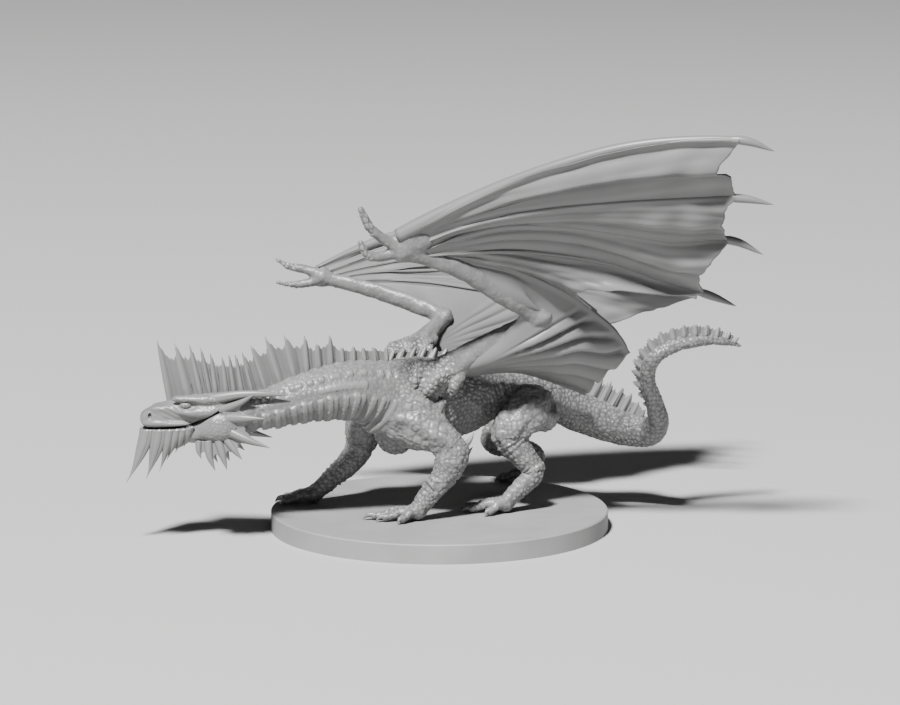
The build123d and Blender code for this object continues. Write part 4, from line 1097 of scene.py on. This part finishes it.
BACK_SPINES = [((-11.4 + 2.3 * i, -6.0 + 1.32 * i, z), (-10.0 + 2.3 * i, -5.2 + 1.32 * i, z + 2.9))
               for i, z in enumerate(BACK_HEIGHTS)]
fin("crest_back", "back_crest", BACK_SPINES, thick=0.9, web=0.62, seed=4, small=0.25)
TAIL_SPINES = [
    ((25.0, 15.0, 30.2), (26.6, 15.8, 33.0)), ((27.2, 15.9, 29.0), (29.2, 16.6, 32.4)),
    ((29.4, 16.7, 27.6), (31.8, 17.4, 31.6)), ((31.6, 17.4, 26.2), (34.2, 18.0, 30.8)),
    ((33.8, 18.0, 25.0), (36.6, 18.6, 30.2)), ((36.0, 18.5, 23.8), (38.9, 19.0, 29.6)),
    ((38.4, 18.8, 22.8), (41.4, 19.2, 28.0)), ((40.8, 18.8, 22.0), (43.4, 19.0, 26.8)),
    ((43.2, 18.3, 21.6), (45.0, 18.4, 25.0)), ((45.4, 17.2, 21.2), (46.4, 17.0, 23.4)),
]
fin("crest_tail", "tail_crest", TAIL_SPINES, thick=0.9, web=0.76, seed=6, small=0.16)
TIP_SPINES = [
    ((48.2, 9.8, 25.6), (45.8, 10.0, 26.0)), ((47.4, 8.8, 27.6), (44.4, 9.0, 28.4)),
    ((46.4, 7.7, 30.0), (43.4, 7.9, 31.2)), ((45.9, 6.9, 32.4), (42.9, 7.0, 34.0)),
    ((45.8, 6.3, 34.6), (43.0, 6.3, 36.6)), ((46.4, 5.8, 36.9), (44.2, 5.8, 39.2)),
    ((47.8, 5.6, 38.8), (46.2, 5.6, 41.4)), ((49.8, 5.7, 40.3), (48.8, 5.7, 43.0)),
    ((52.0, 6.0, 41.2), (51.4, 6.0, 44.0)), ((54.4, 6.6, 41.9), (54.2, 6.6, 44.5)),
    ((56.8, 7.2, 42.1), (56.8, 7.2, 44.6)), ((59.2, 7.9, 41.9), (59.6, 8.0, 44.4)),
    ((61.6, 8.5, 41.5), (62.2, 8.7, 43.6)), ((63.8, 9.1, 41.0), (64.6, 9.3, 42.6)),
    ((65.8, 9.6, 40.2), (66.8, 9.8, 41.2)),
]
fin("crest_tail_tip", "tail_tip_crest", TIP_SPINES, thick=0.8, web=0.70, seed=8, small=0.26)

# ---------------------------------------------------------------- wings


def bay_side(n):
    """Places across a bay, closer together next to its fingers."""
    v = np.linspace(0, 1, n)
    return 0.5 - 0.5 * np.cos(v * math.pi)


def at(path, share):
    """Points a share of the way along a finely sampled path."""
    x = np.clip(share, 0, 1) * (len(path) - 1)
    k = np.minimum(x.astype(int), len(path) - 2)
    t = (x - k)[..., None]
    return path[k] * (1 - t) + path[k + 1] * t


def rib_profile(distance, radius):
    return 2 * radius * np.exp(-(distance / (radius * 0.85)) ** 2)


def grid_normal(grid):
    n = np.cross(np.gradient(grid, axis=0), np.gradient(grid, axis=1))
    return n / np.maximum(np.linalg.norm(n, axis=2), 1e-9)[..., None]


SAMPLES = 40            # samples from one finger station to the next


def outer_bay(parts, wing, whole, k):
    """One bay between two fingers: a bellied skin with soft folds along it and a rib at each finger."""
    sag = np.array(wing["sag"])
    along = 130
    a = bay_side(44)
    s = np.linspace(0, 1, along)
    bow = np.sin(a * math.pi)
    ragged = noise3(np.stack([a * 21, a * 0 + k * 7.7, a * 0], axis=1), 1.3, 11) * bow
    draw = np.interp(a, np.linspace(0, 1, 9), wing["draw"][k]) + 0.010 * ragged
    share = s[None, :] * (1 - draw[:, None])
    ends = [whole[i] if i == 4 or (k == 3 and wing["side"] > 0) else whole[i][:-SAMPLES] for i in (k, k + 1)]
    grid = at(ends[0], share) * (1 - a)[:, None, None] + at(ends[1], share) * a[:, None, None]
    width = np.linalg.norm(at(ends[0], s) - at(ends[1], s), axis=1)[None, :]
    open_out = smooth(0.04, 0.30, s)[None, :]
    if k == 0:      # the first bay is folded lengthways: its upper half stands forward and steps back
        shape = np.interp(a, [0, 0.12, 0.30, 0.47, 0.53, 0.58, 0.8, 1],
                          [0, 0.10, 0.55, 1.0, 0.75, 0.12, 0.15, 0])
        belly = shape[:, None] * (0.25 * width) * open_out
    else:
        skew = np.sin(a ** 0.75 * math.pi)
        belly = skew[:, None] * (0.06 + 0.20 * s[None, :] ** 2) * width * open_out
    grid = grid + sag * belly[..., None]
    lane = a[:, None] + 0.05 * np.sin(s * 8 + k * 2)[None, :] + 0.04 * noise3(grid, 11.0, k)
    folds = 0.26 * np.sin(lane * 2 * math.pi * (1.6 + 0.4 * k) + k)
    folds = folds + 0.08 * np.sin(lane * 2 * math.pi * 5.3 + 2.1 * k)
    folds = folds * open_out * bow[:, None] ** 0.6 * smooth(1.5, 7.0, width)
    folds += 0.20 * noise3(grid, 4.5, 2 + k) * bow[:, None] * open_out
    ripple = np.sin(s * 46 + 5 * a[:, None] + 2 * noise3(grid, 8.0, k))
    folds += 0.10 * ripple * bow[:, None] * smooth(0.5, 0.9, s)[None, :]
    grid = grid + grid_normal(grid) * folds[..., None]
    swell = smooth(0.0, 0.16, s)[None, :]
    ribs = 0
    for i, distance in ((k, a[:, None] * width), (k + 1, (1 - a)[:, None] * width)):
        radius = ((1.60 - 0.75 * s) if i == 0 else (0.90 - 0.40 * s))[None, :] * (0.35 + 0.65 * swell)
        if i:
            radius = np.minimum(radius, 0.10 + 0.16 * width)
        ribs = ribs + rib_profile(distance, radius)
    thick = np.minimum(0.5 + 1.3 * (1 - swell) + ribs, 3.2)
    # relief follows the folds and ribs: painted shade in the fold troughs, painted highlight on the crests and
    # ribs
    parts.cloth(grid, thick, np.clip(0.50 + 0.9 * folds + 0.10 * ribs, 0, 1))


def inner_bay(parts, wing, whole):
    """The bay from the last finger to the arm and the flank, with folds fanning out towards its corner."""
    sag = np.array(wing["sag"])
    forearm = np.array(wing["forearm"])
    upper = (np.array(wing["arm"][1]) + np.array(wing["arm"][2])) / 2
    lift = sag * wing["lift"]
    edge = [forearm[3] + lift * 0.6, forearm[1] + lift, forearm[0] + lift * 0.2, upper]
    edge += [np.array(f) for f in wing["flank"]]
    inner = through(edge, 240)
    rows, cols = ((64, 150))
    a = np.linspace(0, 1, rows)
    t = np.linspace(0, 1, cols)
    share = t[None, :] * (1 - 0.025 * np.sin(a * math.pi)[:, None])
    grid = at(whole[4], share) * (1 - a)[:, None, None] + at(inner, share) * a[:, None, None]
    bow = np.sin(a * math.pi) ** 0.8
    bulge = np.interp(t, np.linspace(0, 1, 7), [0, 0.15, 0.25, 0.5, 0.9, 1.0, 0.6])
    grid = grid + sag * (wing["bulge"] * bow[:, None] * bulge[None, :])[..., None]
    x0, y0, z0 = wing["fold_from"]
    angle = np.degrees(np.arctan2(grid[..., 2] - z0, grid[..., 0] - x0))
    far = np.hypot(grid[..., 2] - z0, grid[..., 0] - x0)
    fade = smooth(0.0, 0.12, a)[:, None] * smooth(0.0, 0.22, 1 - a)[:, None] * smooth(4, 15, far)
    fade = fade * (1 - smooth(24, 36, angle)) * (1 - smooth(30, 44, -angle))
    phase = angle / wing["fold_turn"] + 0.35 * noise3(grid, 9.0, 6)
    folds = wing["fold"] * (np.sin(2 * math.pi * phase) + 0.25 * np.sin(4 * math.pi * phase + 0.8)) * fade
    folds += 0.22 * noise3(grid, 5.0, 9) * np.sin(a * math.pi)[:, None]
    grid = grid + grid_normal(grid) * folds[..., None]
    width = np.linalg.norm(grid[0] - grid[-1], axis=1)[None, :]
    ribs = rib_profile(a[:, None] * width, (0.95 - 0.50 * t)[None, :])
    hem = 0.35 * np.exp(-((1 - t) / 0.012) ** 2)[None, :]
    # relief follows the folds: painted shade in the troughs, painted highlight on the crests
    parts.cloth(grid, np.minimum(0.55 + ribs + hem, 2.2), np.clip(0.5 + 0.55 * folds, 0, 1))


def sail_mesh(wing):
    """The whole sail: four outer bays, the inner bay and the claws beyond the trailing edge."""
    whole = [through(finger, (len(finger) - 1) * SAMPLES + 1) for finger in wing["fingers"]]
    parts = Parts()
    for k in range(4):
        outer_bay(parts, wing, whole, k)
    inner_bay(parts, wing, whole)
    lead = whole[0][:-SAMPLES // 2:16]
    lead_r = np.interp(np.linspace(0, 1, len(lead)), [0, 0.08, 0.3, 0.7, 1], wing["lead_r"])
    parts.spike(lead, lead_r, count=90, sides=18)
    for path in whole[:4]:
        claw = path[-SAMPLES - 10::8]
        radii = np.interp(np.linspace(0, 1, len(claw)), [0, 0.2, 0.45, 0.8, 1],
                          [0.55, 1.02, 0.85, 0.42, 0.06])
        parts.spike(claw, radii, count=36, sides=16)
    return parts


def arm_field(wing):
    arm = Limb(wing["arm"], wing["arm_r"])
    fore = Limb(wing["forearm"], [r * 0.72 for r in wing["forearm_r"]], wing["forearm_r"])
    thumbs = [Limb(t, wing["thumb_r"]) for t in wing["thumbs"]]
    strands = [Limb(t, [0.9, 1.35, 0.7]) for t in wing["strands"]]
    root = np.array(wing["arm"][0])
    side = wing["side"]

    def field(q):
        d = smin(arm.near(q), fore.near(q), 1.6)
        d = smin(d, ball(q, wing["arm"][-1], wing["arm_r"][-1]), 1.0)
        d = smin(d, ball(q, wing["forearm"][-1], wing["forearm_r"][-1]), 1.2)
        d = smin(d, ellipsoid(q, *wing["pad"]), 1.2)
        d = smin(d, ellipsoid(q, root + np.array([3.4, side * 0.6, 1.6]), (3.4, 2.4, 2.6)), 1.2)
        d = smin(d, ellipsoid(q, root + np.array([-1.6, side * 0.8, 2.4]), (2.6, 2.2, 2.6)), 1.2)
        for strand in strands:
            d = smin(d, strand.near(q, 2.0), 0.7)
        for thumb in thumbs:
            d = smin(d, thumb.near(q, 2.0), 0.7)
        d = np.maximum(d, 0.12 - spine_field(q))
        return np.minimum(d, peg_box(q, wing, 0.0))

    def detail(q):
        d, place, angle = arm.near(q, 6.0, full=True)
        other = smooth(-1.0, 1.5, d - fore.near(q))
        rough = (1 - smooth(5.0, 9.5, place)) * (1 - other)
        small = pebbles(q, 1.15, seed=31)
        height = (0.05 + 0.25 * rough) * (small - 0.3)
        height += 0.22 * np.sin(angle * 5 + place * 0.6) * (0.3 + 0.7 * rough) * (1 - other)
        height += 0.14 * noise3(q, 1.7, 12)
        thumb = np.minimum(thumbs[0].near(q, 2.0), thumbs[1].near(q, 2.0))
        height += 0.09 * noise3(q, 0.9, 15) * (thumb < 0.4)
        height[peg_box(q, wing, 0.0) < 0.1] = 0
        # second value grows with the detail's height: painted shade in the grooves, painted highlight on the
        # raised scales and strands
        return height, np.clip(0.40 + 0.4 * (small - 0.4) * (0.3 + rough) + height, 0, 1)

    return field, detail


for name, wing in WINGS.items():
    field, detail = arm_field(wing)
    points = np.array(wing["arm"] + wing["forearm"] + wing["thumbs"][0] + wing["thumbs"][1])
    grid, low = carve(points.min(axis=0) - 8.5, points.max(axis=0) + 4.5, ARM_VOXEL, field, 1.9)
    verts, faces = surface(grid, low, ARM_VOXEL)
    normals = vertex_normals(verts, faces)
    height, relief_shade = detail(verts)
    verts = verts + normals * height[:, None]
    obj = make_mesh("arm_" + name, verts, faces, relief_shade, vertex_normals(verts, faces))
    finish_piece(obj, name + "_wing", ["wing_" + name + "_arm"])
    finish_piece(sail_mesh(wing).object("sail_" + name), name + "_wing", ["wing_" + name + "_sail"])

# ---------------------------------------------------------------- base, floor, light, camera

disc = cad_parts["base_disc"]
disc.data.materials.clear()
disc.data.materials.append(base_grey_painted_light)

FLOOR_HALF = 4.0
corners = [(x * FLOOR_HALF, y * FLOOR_HALF, 0) for x, y in ((-1, -1), (1, -1), (1, 1), (-1, 1))]
floor_mesh = bpy.data.meshes.new("floor")
floor_mesh.from_pydata(corners, [], [(0, 1, 2, 3)])
floor = bpy.data.objects.new("floor", floor_mesh)
bpy.context.collection.objects.link(floor)
floor_mat = bpy.data.materials.new("pale_floor")
floor_mat.use_nodes = True
floor_shader = floor_mat.node_tree.nodes["Principled BSDF"]
floor_shader.inputs["Base Color"].default_value = (0.40, 0.40, 0.398, 1)
floor_shader.inputs["Roughness"].default_value = 0.9
floor.data.materials.append(floor_mat)


def area_light(name, place, size, power, target=(0, 0, 0.035)):
    """A square lamp of size metres at place, facing target."""
    lamp = bpy.data.lights.new(name, "AREA")
    lamp.size = size
    lamp.energy = power
    obj = bpy.data.objects.new(name, lamp)
    obj.location = place
    obj.rotation_euler = (Vector(target) - Vector(place)).to_track_quat("-Z", "Y").to_euler()
    bpy.context.collection.objects.link(obj)


area_light("key", (-0.62, -1.62, 2.35), 0.34, 310)
area_light("fill", (0.75, -0.75, 0.40), 0.60, 0.12)
area_light("rim", (0.30, 0.80, 0.60), 0.40, 0.4)
world = bpy.data.worlds.new("studio")
world.use_nodes = True
sky = world.node_tree.nodes["Background"]
sky.inputs["Color"].default_value = (0.86, 0.87, 0.89, 1)
sky.inputs["Strength"].default_value = 0.05
bpy.context.scene.world = world

camera_data = bpy.data.cameras.new("camera")
camera_data.sensor_width = 36
camera_data.lens = 161.2
camera_data.clip_start = 0.01
camera_data.clip_end = 20
CAMERA_PITCH = 0.172    # radians below level
camera = bpy.data.objects.new("camera", camera_data)
camera.location = (0.00233, -0.8779, 0.1920)
camera.rotation_euler = (math.pi / 2 - CAMERA_PITCH, 0, 0)
bpy.context.collection.objects.link(camera)
bpy.context.scene.camera = camera
